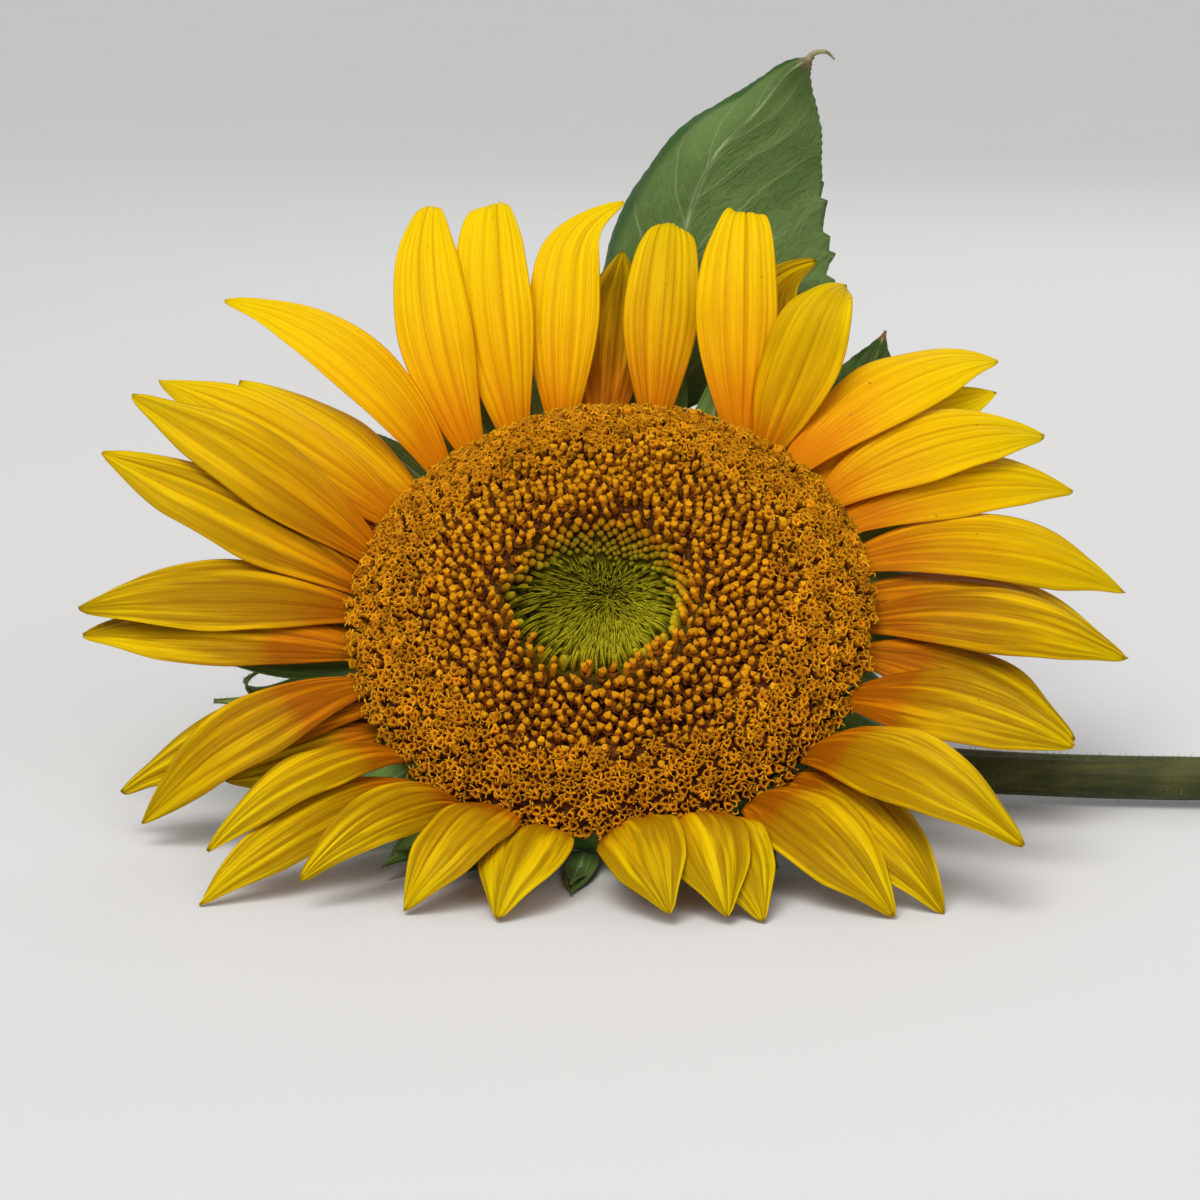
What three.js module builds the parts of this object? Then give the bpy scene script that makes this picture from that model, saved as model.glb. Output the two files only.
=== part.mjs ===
// A cut mammoth sunflower lying on a flat surface, in millimetres, +Z up.
// The flower head leans back on its lower ray petals and its neck, and the stem lies along +X.
import * as THREE from 'three';
import * as BufferGeometryUtils from 'three/addons/utils/BufferGeometryUtils.js';

const { degToRad, lerp, smoothstep, clamp } = THREE.MathUtils;

// Driving dimensions, in millimetres and degrees
const HEAD_HEIGHT = 62; // the disc's centre above the surface
const HEAD_TIP_BACK = 43; // turn of the disc's face from straight up towards the front
const HEAD_YAW = 6; // turn of the head towards -X
const FLOWER_SHIFT = [-64.7, -16.3, 2.1]; // puts the origin below the middle of the whole flower
const RIM_RADIUS = 75.6; // the receptacle's wall that the ray petals grow from
const RIM_BOTTOM = -9; // lower edge of that wall
const RECEPTACLE_DEPTH = 47; // from the disc's rim plane to the neck
const NECK_RADIUS = 10;
const STEM_CUT_RADIUS = 6.8;
const GAP = 0.3; // clearance between neighbouring pieces

const PETAL_SEAT_RADIUS = 76.2;
const PETAL_THICKNESS = 0.8;
const PETAL_ROW_STEP = 2.2; // each further row of petals sits this much lower on the rim
const PETAL_BASE_SHARE = 0.28; // width of a petal's foot, as a share of its full width
const PETAL_WIDEST = 0.48; // where along a petal it is widest

const CREST_OUTER = 33.5; // radius where the open florets end and the ring of buds begins
const CREST_INNER = 24;
const FLORET_TOP = 17.5; // height of the ring of buds above the rim plane
const FLORET_FOOT = 4; // height of the dish under the florets

// Ray petals, anticlockwise angles from +X seen from the front; angles in degrees, sizes in millimetres
const RAY_PETALS = [
  { azimuth: 128, length: 90, width: 25, lift: 45, bend: 45, heading: -6, sway: -38 },
  { azimuth: 117, length: 91, width: 25, lift: 45, bend: 42, row: 1, heading: -8, sway: -22, curl: 60 },
  { azimuth: 106, length: 84, width: 24, lift: 45, bend: 45, row: 2, heading: -13, sway: -8, hook: -60 },
  { azimuth: 96, length: 64, width: 22, lift: 20, bend: 30, row: 3, heading: -5, sway: -8 },
  { azimuth: 84, length: 86, width: 24, lift: 42, bend: 40, row: 1.5, heading: 4, curl: 80,
    curlStart: 0.6 },
  { azimuth: 63, length: 88, width: 26, lift: 45, bend: 42, out: 1.2, heading: 32, sway: -8, curl: 60 },
  { azimuth: 58, length: 86, width: 22, lift: 20, bend: 30, row: 2.8, out: 1.2, heading: 22, sway: 10 },
  { azimuth: 56, length: 71, width: 26, lift: 49, bend: 24, row: 0.8, heading: 4, curl: 90,
    curlStart: 0.55 },
  { azimuth: 48, length: 84, width: 26, lift: 32, bend: 68, heading: -4, sway: -16 },
  { azimuth: 42, length: 74, width: 22, lift: 18, bend: 40, row: 2.5, sway: -10 },
  { azimuth: 37, length: 84, width: 27, lift: 30, bend: 76, row: 1, heading: -5, sway: -10 },
  { azimuth: 30, length: 87, width: 24, lift: 18, bend: 66, row: 2, heading: -2, sway: -10 },
  { azimuth: 21, length: 94, width: 26, lift: 15, bend: 66, row: 3, heading: -5, sway: -20 },
  { azimuth: 12, length: 90, width: 26, lift: 2, bend: 46, row: 4, heading: -2, sway: -20 },
  { azimuth: 3, length: 83, width: 26, lift: 20, bend: 60, row: 2, sway: -10 },
  { azimuth: -6, length: 70, width: 26, lift: 2, bend: 40, row: 2, heading: 2, sway: -20 },
  { azimuth: -20, length: 74, width: 26, lift: 40, bend: 60 },
  { azimuth: -37, length: 91, width: 27, lift: 64, bend: 88 },
  { azimuth: -43, length: 77, width: 25, lift: 53, bend: 83, row: 2.1, heading: -2, sway: -7, roll: 2 },
  { azimuth: -54, length: 72, width: 27, lift: 59, bend: 90, row: 0.8, heading: 11, sway: -8, roll: 4 },
  { azimuth: -64, length: 62, width: 24, lift: 75, bend: 96, row: 2.5, heading: -3, sway: -1, roll: 2 },
  { azimuth: -69, length: 60, width: 27, lift: 81, bend: 108, row: 0.2, heading: 4, sway: -10, roll: 1 },
  { azimuth: -82, length: 59, width: 26, lift: 86, bend: 111, heading: 14, roll: 4 },
  { azimuth: -100, length: 59, width: 27, lift: 80, bend: 95, row: 1.2, heading: 3, sway: -4, roll: 4 },
  { azimuth: -109, length: 66, width: 25, lift: 88, bend: 128, sway: -14, roll: 7 },
  { azimuth: -118, length: 76, width: 27, lift: 79, bend: 100, row: 2.1, out: 0.3, heading: -17,
    sway: 3, roll: -13 },
  { azimuth: -130, length: 89, width: 26, lift: 54, bend: 73, row: 2.4, heading: -5, roll: 2 },
  { azimuth: -138, length: 78, width: 26, lift: 61, bend: 86, sway: 5, roll: 3 },
  { azimuth: -150, length: 50, width: 26, lift: 20, bend: 50, row: 3, heading: -10 },
  { azimuth: -156, length: 83, width: 24, lift: 20, bend: 60, row: 1.2, heading: -5 },
  { azimuth: -160, length: 84, width: 27, lift: 30, bend: 80, heading: 14 },
  { azimuth: -173, length: 87, width: 28, lift: 28, bend: 50, row: 2.5, heading: -6 },
  { azimuth: 178, length: 89, width: 26, lift: 36, bend: 58, row: 1.5, heading: 9, sway: -2, roll: 1 },
  { azimuth: 171, length: 91, width: 28, lift: 40, bend: 35, row: 1.3, heading: -6, sway: -1, roll: 4 },
  { azimuth: 164, length: 92, width: 27, lift: 47, bend: 49, heading: -8 },
  { azimuth: 152, length: 92, width: 28, lift: 40, bend: 50, row: 1.5, heading: 3 },
  { azimuth: 156, length: 94, width: 24, lift: 25, bend: 38, row: 3.2, heading: -5, sway: -2, roll: 1 },
  { azimuth: 145, length: 74, width: 24, lift: 31, bend: 39, row: 2.9, heading: 3, sway: 1, roll: 6 },
  { azimuth: 137, length: 94, width: 26, lift: 50, bend: 60, heading: -10, sway: 40 },
];

// What a ray petal or bract has unless its line gives another value
const PLAIN_RAY = {
  row: 0, out: 0, heading: 0, sway: 0, hook: 0, curl: 0, curlStart: 0.7, roll: 0, arch: 0.25,
};
const PLAIN_BRACT = { heading: 0, sway: 0, hook: 0, curl: 0, curlStart: 0.5, radius: 73.8, height: -13.4 };

const BRACT_THICKNESS = 1.1;
const BRACT_CUP = 0.25; // how far a bract's margins turn back, as a share of its half width
const BRACTS = [
  { azimuth: 5, length: 40, width: 16, lift: -28, bend: 20 },
  { azimuth: 32, length: 40, width: 16, lift: -28, bend: 20 },
  { azimuth: 60, length: 38, width: 16, lift: -24, bend: 10 },
  { azimuth: 88, length: 40, width: 16, lift: -28, bend: 20 },
  { azimuth: 116, length: 40, width: 16, lift: -28, bend: 20 },
  { azimuth: 141, length: 42, width: 16, lift: -28, bend: 20 },
  { azimuth: 164, length: 40, width: 16, lift: -28, bend: 20 },
  { azimuth: -172, length: 42, width: 16, lift: -28, bend: -40 },
  { azimuth: -148, length: 38, width: 16, lift: -10, bend: 0 },
  { azimuth: -122, length: 34, width: 16, lift: 30, bend: -5 },
  { azimuth: -92, length: 34, width: 16, lift: 42, bend: 0, radius: 74.3 },
  { azimuth: -60, length: 34, width: 16, lift: 30, bend: -5, radius: 74.3 },
  { azimuth: -28, length: 38, width: 16, lift: -10, bend: 0 },
];

const STEM_NECK_RUN = 9;
const STEM_ROUTE = [[18, 46, 11], [40, 44, 8.8], [80, 32, 8], [140, 21, 7.4], [215, 17, 7], [290, 17, 6.9]];

const LEAFSTALK_RADIUS = 2.6;
const LEAF_THICKNESS = 1.0;
// Each midrib runs from the stem to the leaf's tip; folds are in radians at the margin
const LEAVES = [
  {
    name: 'leaf_upper', width: 100, stalkShare: 0.43, leftFold: 1.95, rightFold: 0.3, facing: [-0.1, -1, 0.1],
    level: [-1, 0, 0],
    midrib: [[44, 46.7, 18.0], [36, 64, 50], [26, 80, 90], [22, 90, 116], [23, 98, 145], [26, 102, 173],
      [34, 101, 192], [47, 97, 206], [57, 91, 219], [64, 84, 224]],
  },
  {
    name: 'leaf_lower', width: 44, stalkShare: 0.5, leftFold: 0.6, rightFold: 0.6, facing: [0, -1, 0.3],
    level: [-1, 0, 0],
    midrib: [[74, 36, 16.9], [78, 58, 42], [79, 76, 72], [79, 84, 98], [82, 84, 118], [88, 80, 138]],
  },
];

// Width of a ray petal along its length, as a share of its full width
function petalWidthShare(t) {
  const rise = PETAL_BASE_SHARE + (1 - PETAL_BASE_SHARE)
    * Math.pow(Math.sin(clamp(t / PETAL_WIDEST, 0, 1) * Math.PI / 2), 1.1);
  const fall = Math.sqrt(1 - Math.pow(clamp((t - 0.4) / 0.6, 0, 1), 2));
  const point = 1 - 0.3 * smoothstep(t, 0.72, 1);
  return rise * Math.max(fall * point, 0.03);
}

// Direction of a petal's spine at t: x outwards, y round the rim, z out of the disc's face
function petalHeading(ray, t) {
  return degToRad(ray.heading + ray.sway * t + ray.hook * smoothstep(t, 0.6, 1));
}

function petalLift(ray, t) {
  return degToRad(ray.lift - ray.bend * t - ray.curl * smoothstep(t, ray.curlStart, 1));
}

function petalDirection(ray, t) {
  const turn = petalHeading(ray, t);
  const lift = petalLift(ray, t);
  return new THREE.Vector3(
    Math.cos(lift) * Math.cos(turn), Math.cos(lift) * Math.sin(turn), Math.sin(lift));
}

// Points along a petal's spine, from its foot on the rim to its tip
function petalSpine(ray, steps) {
  const points = [new THREE.Vector3()];
  const fine = steps * 4;
  const at = new THREE.Vector3();
  for (let i = 0; i < fine; i += 1) {
    const middle = petalDirection(ray, (i + 0.5) / fine);
    at.addScaledVector(middle, ray.length / fine);
    if ((i + 1) % 4 === 0) points.push(at.clone());
  }
  return points;
}

// Moves the vertices of a unit box, which runs along X with its width along Y and its thickness along Z
function shapeBox(lengthSegments, widthSegments, place) {
  const geometry = new THREE.BoxGeometry(1, 1, 1, lengthSegments, widthSegments, 1);
  const position = geometry.attributes.position;
  const point = new THREE.Vector3();
  for (let i = 0; i < position.count; i += 1) {
    point.fromBufferAttribute(position, i);
    const moved = place(point.x + 0.5, point.y * 2, point.z * 2);
    position.setXYZ(i, moved.x, moved.y, moved.z);
  }
  geometry.deleteAttribute('uv');
  geometry.deleteAttribute('normal');
  const merged = BufferGeometryUtils.mergeVertices(geometry, 1e-4);
  merged.computeVertexNormals();
  return merged;
}

// A thin arched blade that follows the petal's spine
function petalGeometry(ray) {
  const steps = 10;
  const spine = petalSpine(ray, steps);
  return shapeBox(steps, 4, (t, across, face) => {
    const centre = spine[Math.round(t * steps)];
    const turn = petalHeading(ray, t);
    const along = petalDirection(ray, t);
    const side = new THREE.Vector3(-Math.sin(turn), Math.cos(turn), 0);
    const up = new THREE.Vector3().crossVectors(along, side);
    const roll = degToRad(ray.roll) * smoothstep(t, 0, 0.4);
    const acrossAxis = side.clone().multiplyScalar(Math.cos(roll)).addScaledVector(up, Math.sin(roll));
    const faceAxis = up.clone().multiplyScalar(Math.cos(roll)).addScaledVector(side, -Math.sin(roll));
    const halfWidth = ray.width / 2 * petalWidthShare(t);
    const curve = ray.arch * 2.2;
    const reach = halfWidth * Math.sin(across * curve) / curve;
    const drop = halfWidth * (Math.cos(across * curve) - 1) / curve;
    const halfThickness = PETAL_THICKNESS / 2 * (1 - 0.45 * across * across);
    return centre.clone()
      .addScaledVector(acrossAxis, reach)
      .addScaledVector(faceAxis, drop + face * halfThickness);
  });
}

// A pointed green bract: it leaves the back edge of the receptacle and curves with the given bend
function bractGeometry(bract) {
  const steps = 6;
  const spine = petalSpine(bract, steps);
  return shapeBox(steps, 2, (t, across, face) => {
    const turn = petalHeading(bract, t);
    const along = petalDirection(bract, t);
    const side = new THREE.Vector3(-Math.sin(turn), Math.cos(turn), 0);
    const up = new THREE.Vector3().crossVectors(along, side);
    const halfWidth = bract.width / 2 * Math.max(0.72 + 0.5 * t - 1.2 * t * t, 0.04);
    const cup = BRACT_CUP * halfWidth * (across * across);
    const halfThickness = BRACT_THICKNESS / 2 * (1 - 0.4 * across * across);
    return spine[Math.round(t * steps)].clone()
      .addScaledVector(side, halfWidth * across)
      .addScaledVector(up, cup * -1 + face * halfThickness);
  });
}

// A closed ring or dome of revolution about Z; the profile runs from its top inner edge round to its bottom
function turnedGeometry(profile, segments) {
  const points = profile.map(([radius, height]) => new THREE.Vector2(radius, height));
  const geometry = new THREE.LatheGeometry(points, segments);
  geometry.rotateX(Math.PI / 2);
  geometry.deleteAttribute('uv');
  geometry.deleteAttribute('normal');
  const merged = BufferGeometryUtils.mergeVertices(geometry, 1e-4);
  merged.computeVertexNormals();
  return merged;
}

// A round stem whose rings follow a curve and whose radius changes along it
function stemGeometry(curve, radiusAt) {
  const steps = 32;
  const geometry = new THREE.CylinderGeometry(1, 1, 1, 12, steps);
  const frames = curve.computeFrenetFrames(steps, false);
  const position = geometry.attributes.position;
  const point = new THREE.Vector3();
  for (let i = 0; i < position.count; i += 1) {
    point.fromBufferAttribute(position, i);
    const t = point.y + 0.5;
    const step = Math.round(t * steps);
    const moved = curve.getPointAt(step / steps)
      .addScaledVector(frames.normals[step], point.z * radiusAt(t))
      .addScaledVector(frames.binormals[step], point.x * radiusAt(t));
    position.setXYZ(i, moved.x, moved.y, moved.z);
  }
  geometry.deleteAttribute('uv');
  geometry.deleteAttribute('normal');
  const merged = BufferGeometryUtils.mergeVertices(geometry, 1e-4);
  merged.computeVertexNormals();
  return merged;
}

// A leaf: a stout leafstalk that widens into a blade whose two halves turn back from the midrib
function leafGeometry(leaf) {
  const curve = new THREE.CatmullRomCurve3(leaf.midrib.map((p) => new THREE.Vector3(...p)));
  const steps = 16;
  return shapeBox(steps, 6, (t, across, face) => {
    const centre = curve.getPointAt(t);
    const along = curve.getTangentAt(t);
    const facing = new THREE.Vector3(...leaf.facing);
    const side = new THREE.Vector3().crossVectors(facing, along).normalize();
    const up = new THREE.Vector3().crossVectors(along, side);
    const spread = across < 0 ? side.clone().lerp(new THREE.Vector3(...leaf.level), 0.85).normalize() : side;
    const blade = clamp((t - leaf.stalkShare) / (1 - leaf.stalkShare), 0, 1);
    const opening = smoothstep(blade, 0, 0.12);
    const taper = 1 - 0.25 * smoothstep(blade, 0.7, 1);
    const outline = taper * Math.sin(Math.PI * Math.pow(clamp(blade, 0.001, 0.999), 0.62));
    const halfWidth = Math.max(lerp(LEAFSTALK_RADIUS, leaf.width / 2 * outline, opening), 0.8);
    const halfThickness = lerp(LEAFSTALK_RADIUS, LEAF_THICKNESS / 2, smoothstep(blade, 0, 0.5));
    const fold = (across > 0 ? leaf.leftFold : leaf.rightFold) * opening;
    const angle = fold * Math.abs(across);
    const reach = fold > 1e-3 ? Math.sin(angle) / fold : Math.abs(across);
    const drop = fold > 1e-3 ? (Math.cos(angle) - 1) / fold : 0;
    const halfDepth = face * halfThickness * (1 - 0.4 * across * across);
    return centre
      .addScaledVector(spread, Math.sign(across) * (reach * halfWidth + Math.sin(angle) * halfDepth))
      .addScaledVector(up, drop * halfWidth + Math.cos(angle) * halfDepth);
  });
}

const petalMaterial = new THREE.MeshStandardMaterial({ color: 0xf5b800, roughness: 0.55, metalness: 0 });
const floretMaterial = new THREE.MeshStandardMaterial({ color: 0xa86208, roughness: 0.8, metalness: 0 });
const budMaterial = new THREE.MeshStandardMaterial({ color: 0xc07a10, roughness: 0.8, metalness: 0 });
const centreMaterial = new THREE.MeshStandardMaterial({ color: 0x7d8a14, roughness: 0.85, metalness: 0 });
const stemMaterial = new THREE.MeshStandardMaterial({ color: 0x5c7a2c, roughness: 0.7, metalness: 0 });
const leafMaterial = new THREE.MeshStandardMaterial({ color: 0x4e7038, roughness: 0.65, metalness: 0 });
const bractMaterial = new THREE.MeshStandardMaterial({ color: 0x4a7d2a, roughness: 0.7, metalness: 0 });

const flower = new THREE.Group();
const head = new THREE.Group();
head.position.set(0, 0, HEAD_HEIGHT);
head.rotation.set(degToRad(HEAD_TIP_BACK), 0, degToRad(-HEAD_YAW), 'ZYX');
flower.add(head);

function add(parent, name, geometry, material) {
  const mesh = new THREE.Mesh(geometry, material);
  mesh.name = name;
  parent.add(mesh);
  return mesh;
}

const two = (n) => String(n).padStart(2, '0');

// Receptacle: the fleshy dish that carries everything on the head
const receptacleProfile = [
  [0, -RECEPTACLE_DEPTH], [NECK_RADIUS - 0.6, -RECEPTACLE_DEPTH], [NECK_RADIUS, -RECEPTACLE_DEPTH + 1],
  [14, -42.5], [24, -38.5], [40, -32.5], [56, -25.5], [67, -19], [73, -14],
  [RIM_RADIUS, RIM_BOTTOM], [RIM_RADIUS, -0.2],
  [72, 0.8], [62, 2.5], [50, 3.5], [34, FLORET_FOOT], [20, FLORET_FOOT], [0, FLORET_FOOT],
];
add(head, 'receptacle', turnedGeometry(receptacleProfile, 36), bractMaterial);

// Disc florets: the open florets, the ring of tall buds and the young green centre
const foot = FLORET_FOOT + GAP;
const openProfile = [
  [CREST_OUTER + GAP, foot], [50, 3.5 + GAP], [62, 2.5 + GAP], [72, 0.8 + GAP], [74.6, 0.1 + GAP], [75, 2],
  [75, 5.5], [71, 9], [65, 11.6], [55, 14.4], [44, 16.4], [CREST_OUTER + GAP, FLORET_TOP - 0.5],
  [CREST_OUTER + GAP, foot],
];
const budProfile = [
  [CREST_INNER + GAP, foot], [CREST_OUTER, foot], [CREST_OUTER, FLORET_TOP - 0.4], [29, FLORET_TOP + 0.5],
  [CREST_INNER + GAP, FLORET_TOP - 2], [CREST_INNER + GAP, foot],
];
const centreProfile = [
  [0, foot], [CREST_INNER, foot], [CREST_INNER, 14.6], [CREST_INNER - 3, 13.8], [12, 12.9], [0, 12.6],
];
add(head, 'disc_florets_open', turnedGeometry(openProfile, 36), floretMaterial);
add(head, 'disc_florets_buds', turnedGeometry(budProfile, 36), budMaterial);
add(head, 'disc_florets_centre', turnedGeometry(centreProfile, 36), centreMaterial);

// Ray petals, each standing on the rim
RAY_PETALS.forEach((given, index) => {
  const ray = { ...PLAIN_RAY, ...given };
  const mesh = add(head, `ray_petal_${two(index + 1)}`, petalGeometry(ray), petalMaterial);
  const azimuth = degToRad(ray.azimuth);
  const radius = PETAL_SEAT_RADIUS + ray.out;
  mesh.position.set(radius * Math.cos(azimuth), radius * Math.sin(azimuth), 0.1 - PETAL_ROW_STEP * ray.row);
  mesh.rotation.z = azimuth;
});

// Bracts round the back edge of the receptacle
BRACTS.forEach((given, index) => {
  const bract = { ...PLAIN_BRACT, ...given };
  const mesh = add(head, `bract_${two(index + 1)}`, bractGeometry(bract), bractMaterial);
  const azimuth = degToRad(bract.azimuth);
  mesh.position.set(bract.radius * Math.cos(azimuth), bract.radius * Math.sin(azimuth), bract.height);
  mesh.rotation.z = azimuth;
});

// Stem: it leaves the neck, bends down to the surface and lies along +X
const neckEnd = new THREE.Vector3(0, 0, -RECEPTACLE_DEPTH - GAP);
head.updateMatrixWorld(true);
const stemStart = neckEnd.clone().applyMatrix4(head.matrixWorld);
const runEnd = neckEnd.clone().add(new THREE.Vector3(0, 0, -STEM_NECK_RUN));
const stemHeading = runEnd.applyMatrix4(head.matrixWorld);
const stemCurve = new THREE.CatmullRomCurve3([stemStart, stemHeading,
  ...STEM_ROUTE.map((p) => new THREE.Vector3(...p))], false, 'centripetal');
const stemRadius = (t) => lerp(NECK_RADIUS - 0.4, STEM_CUT_RADIUS, smoothstep(t, 0, 0.45));
add(flower, 'stem', stemGeometry(stemCurve, stemRadius), stemMaterial);

// Leaves on their stalks
LEAVES.forEach((leaf) => add(flower, leaf.name, leafGeometry(leaf), leafMaterial));

// The origin is below the middle of the whole flower, on the surface that it lies on
flower.position.set(...FLOWER_SHIFT);
flower.updateMatrixWorld(true);

export default flower;
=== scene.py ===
"""A cut mammoth sunflower that lies on a pale floor, its head leaning back on its own petals and neck."""

import math
import random

import bmesh
import bpy
from bpy.props import FloatProperty, FloatVectorProperty, IntProperty, PointerProperty
from mathutils import Matrix, Vector, noise


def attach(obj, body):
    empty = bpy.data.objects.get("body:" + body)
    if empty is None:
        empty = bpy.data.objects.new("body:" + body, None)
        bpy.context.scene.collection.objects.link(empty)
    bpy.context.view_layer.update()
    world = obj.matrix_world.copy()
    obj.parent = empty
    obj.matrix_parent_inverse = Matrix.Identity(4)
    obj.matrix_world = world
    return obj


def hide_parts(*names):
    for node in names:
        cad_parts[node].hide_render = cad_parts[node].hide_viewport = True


bl_info = {
    "name": "Mammoth Sunflower",
    "version": (1, 0, 0),
    "blender": (4, 5, 0),
    "location": "View3D > Sidebar > Sunflower",
    "description": "Builds a cut mammoth sunflower from petals, florets, bracts, a stem and two leaves",
    "category": "Add Mesh",
}

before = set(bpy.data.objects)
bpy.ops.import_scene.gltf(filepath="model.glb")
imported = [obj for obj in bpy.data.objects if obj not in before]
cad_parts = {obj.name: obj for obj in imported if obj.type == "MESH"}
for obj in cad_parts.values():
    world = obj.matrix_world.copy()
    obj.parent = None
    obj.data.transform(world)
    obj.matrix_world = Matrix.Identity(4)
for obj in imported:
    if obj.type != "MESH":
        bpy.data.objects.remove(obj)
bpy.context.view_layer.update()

# Shapes are worked out in millimetres and degrees, and brought to metres when a piece is placed
MM = 0.001
FLOWER_SHIFT = (-64.7, -16.3, 2.1)
HEAD_HEIGHT = 62
HEAD_TIP_BACK = 43
HEAD_YAW = 6
FLOWER = Matrix.Scale(MM, 4) @ Matrix.Translation(FLOWER_SHIFT)
HEAD_TURN = (
    Matrix.Translation((0, 0, HEAD_HEIGHT))
    @ Matrix.Rotation(math.radians(-HEAD_YAW), 4, "Z")
    @ Matrix.Rotation(math.radians(HEAD_TIP_BACK), 4, "X")
)
HEAD = FLOWER @ HEAD_TURN

PETAL_SEAT_RADIUS = 76.2
PETAL_SEAT_HEIGHT = 0.1
PETAL_ROW_STEP = 2.2
PETAL_ARCH = 0.55
# Rows along and columns across the grid of each blade or skin
PETAL_GRID, BRACT_GRID, STEM_GRID, LEAF_GRID = (40, 44), (22, 12), (150, 44), (132, 36)
# Where the pieces' own random numbers start
PETAL_SEED, BRACT_SEED, BRACT_BLADE_SEED, FLORET_SEED, RECEPTACLE_SEED, STEM_SEED = 100, 500, 700, 11, 21, 31
GREEN_THICKNESS = 0.5
MERGE_GAP = 1e-4
SPIN_STEPS = 72
FLORET_SIDES = 6

# The numbers that the points of a petal hold (its deep is how much painted shade it takes), and those that
# the points of a floret, bract or hair hold
PETAL_LAYERS = ("tone", "rib", "deep")
FLORET_LAYERS = ("along", "tone", "ripe")

# A petal's shade is painted shade, laid on the blade of a petal that lies behind others
PLAIN_RAY = dict(row=0, out=0, heading=0, sway=0, hook=0, curl=0, curl_start=0.7, roll=0, slant=0, shade=0)


def petal(azimuth, length, width, lift, bend, **own):
    """A petal by its place round the rim, its size, how it rises at the foot and how far it bends over."""
    return dict(PLAIN_RAY, azimuth=azimuth, length=length, width=width, lift=lift, bend=bend, **own)


def bract(azimuth, length=40, width=16, lift=-28, bend=20, **own):
    """A bract is laid out as a petal is, lower down. The shift moves the companions that stand above it."""
    return petal(azimuth, length, width, lift, bend, **{"radius": 73.8, "height": -13.4, "shift": 0, **own})


# Anticlockwise round the rim from the top, as seen from the front, then down the right and back up the left
RAY_PETALS = [
    petal(128, 93, 25, 45, 45, heading=-6, sway=-38, curl=80, curl_start=0.86),
    petal(117, 93, 26, 45, 42, row=1, heading=-8, sway=-22, curl=125, curl_start=0.76, slant=2),
    petal(106, 84, 24, 45, 45, row=2, heading=-13, sway=-8, hook=-60),
    petal(96, 70, 26, 20, 30, row=3, heading=-3, sway=-8, shade=1),
    petal(84, 80, 25, 42, 40, row=1.5, heading=4, curl=130, curl_start=0.74, slant=-2, shade=0.25),
    petal(63, 88, 27, 45, 42, out=1.2, heading=32, sway=-8, curl=125, curl_start=0.75, slant=-4),
    petal(58, 82, 24, 20, 30, row=2.8, out=1.2, heading=31, sway=2, hook=-60, shade=1),
    petal(56, 69, 27, 49, 24, row=0.8, heading=7, curl=80, curl_start=0.6, shade=0.4),
    petal(48, 84, 26, 32, 68, heading=-4, sway=-16), petal(42, 74, 22, 18, 40, row=2.5, sway=-10),
    petal(37, 84, 27, 30, 76, row=1, heading=-5, sway=-10),
    petal(30, 87, 24, 18, 66, row=2, heading=-2, sway=-10),
    petal(21, 94, 26, 15, 66, row=3, heading=-5, sway=-20),
    petal(12, 90, 26, 2, 46, row=4, heading=-2, sway=-20), petal(3, 83, 26, 20, 60, row=2, sway=-10),
    petal(-6, 70, 26, 2, 40, row=2, heading=2, sway=-20), petal(-20, 74, 26, 40, 60),
    petal(-37, 91, 27, 64, 88), petal(-43, 77, 25, 53, 83, row=2.1, heading=-2, sway=-7, roll=2),
    petal(-54, 72, 27, 59, 90, row=0.8, heading=11, sway=-8, roll=4),
    petal(-64, 62, 24, 75, 96, row=2.5, heading=-3, sway=-1, roll=2),
    petal(-69, 60, 27, 81, 108, row=0.2, heading=4, sway=-10, roll=1),
    petal(-82, 59, 26, 86, 111, heading=14, roll=4),
    petal(-100, 59, 27, 80, 95, row=1.2, heading=3, sway=-4, roll=4),
    petal(-109, 66, 25, 88, 128, sway=-14, roll=7),
    petal(-118, 76, 19, 79, 100, row=2.1, out=0.3, heading=-17, sway=3, roll=-13),
    petal(-130, 89, 19, 54, 73, row=2.4, heading=-5, roll=2), petal(-138, 78, 17, 61, 86, sway=5, roll=3),
    petal(-150, 50, 26, 20, 50, row=3, heading=-10), petal(-156, 83, 24, 20, 60, row=1.2, heading=-5),
    petal(-160, 84, 23, 30, 80, heading=14), petal(-173, 87, 28, 28, 50, row=2.5, heading=-6),
    petal(178, 89, 26, 36, 58, row=1.5, heading=9, sway=-2, roll=1),
    petal(171, 91, 28, 40, 35, row=1.3, heading=-6, sway=-1, roll=4),
    petal(164, 92, 27, 47, 49, heading=-8), petal(152, 92, 25, 40, 50, row=1.5, heading=3),
    petal(156, 94, 24, 25, 38, row=3.2, heading=-5, sway=-2, roll=1),
    petal(145, 74, 24, 31, 39, row=2.9, heading=3, sway=1, roll=6),
    petal(137, 94, 22, 50, 60, heading=-10, sway=40),
]
BRACTS = [
    bract(5, 45, shift=6), bract(32), bract(60, 38, lift=-24, bend=10, shift=4), bract(88, shift=3),
    bract(116), bract(141, 42, shift=-4), bract(164),
    bract(-172, 52, 13, bend=-36, curl=-150, curl_start=0.62), bract(-148, 38, lift=-10, bend=0),
    bract(-122, 34, lift=30, bend=-5), bract(-92, 29, 12, 42, 0, radius=74.3),
    bract(-60, 34, lift=30, bend=-5, radius=74.3), bract(-28, 38, lift=-10, bend=0),
]
# A bract's companions: the turn from it, the share of its length, the seat and whether they stand above it
COMPANIONS = [
    (9, 0.82, 71.6, -15.8, False), (-8, 0.74, 69.4, -17.9, False), (-9, 0.95, 75.3, -9.4, True),
    (0, 1.05, 75.1, -10.6, True), (9, 0.9, 75.3, -9.0, True),
]

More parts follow.
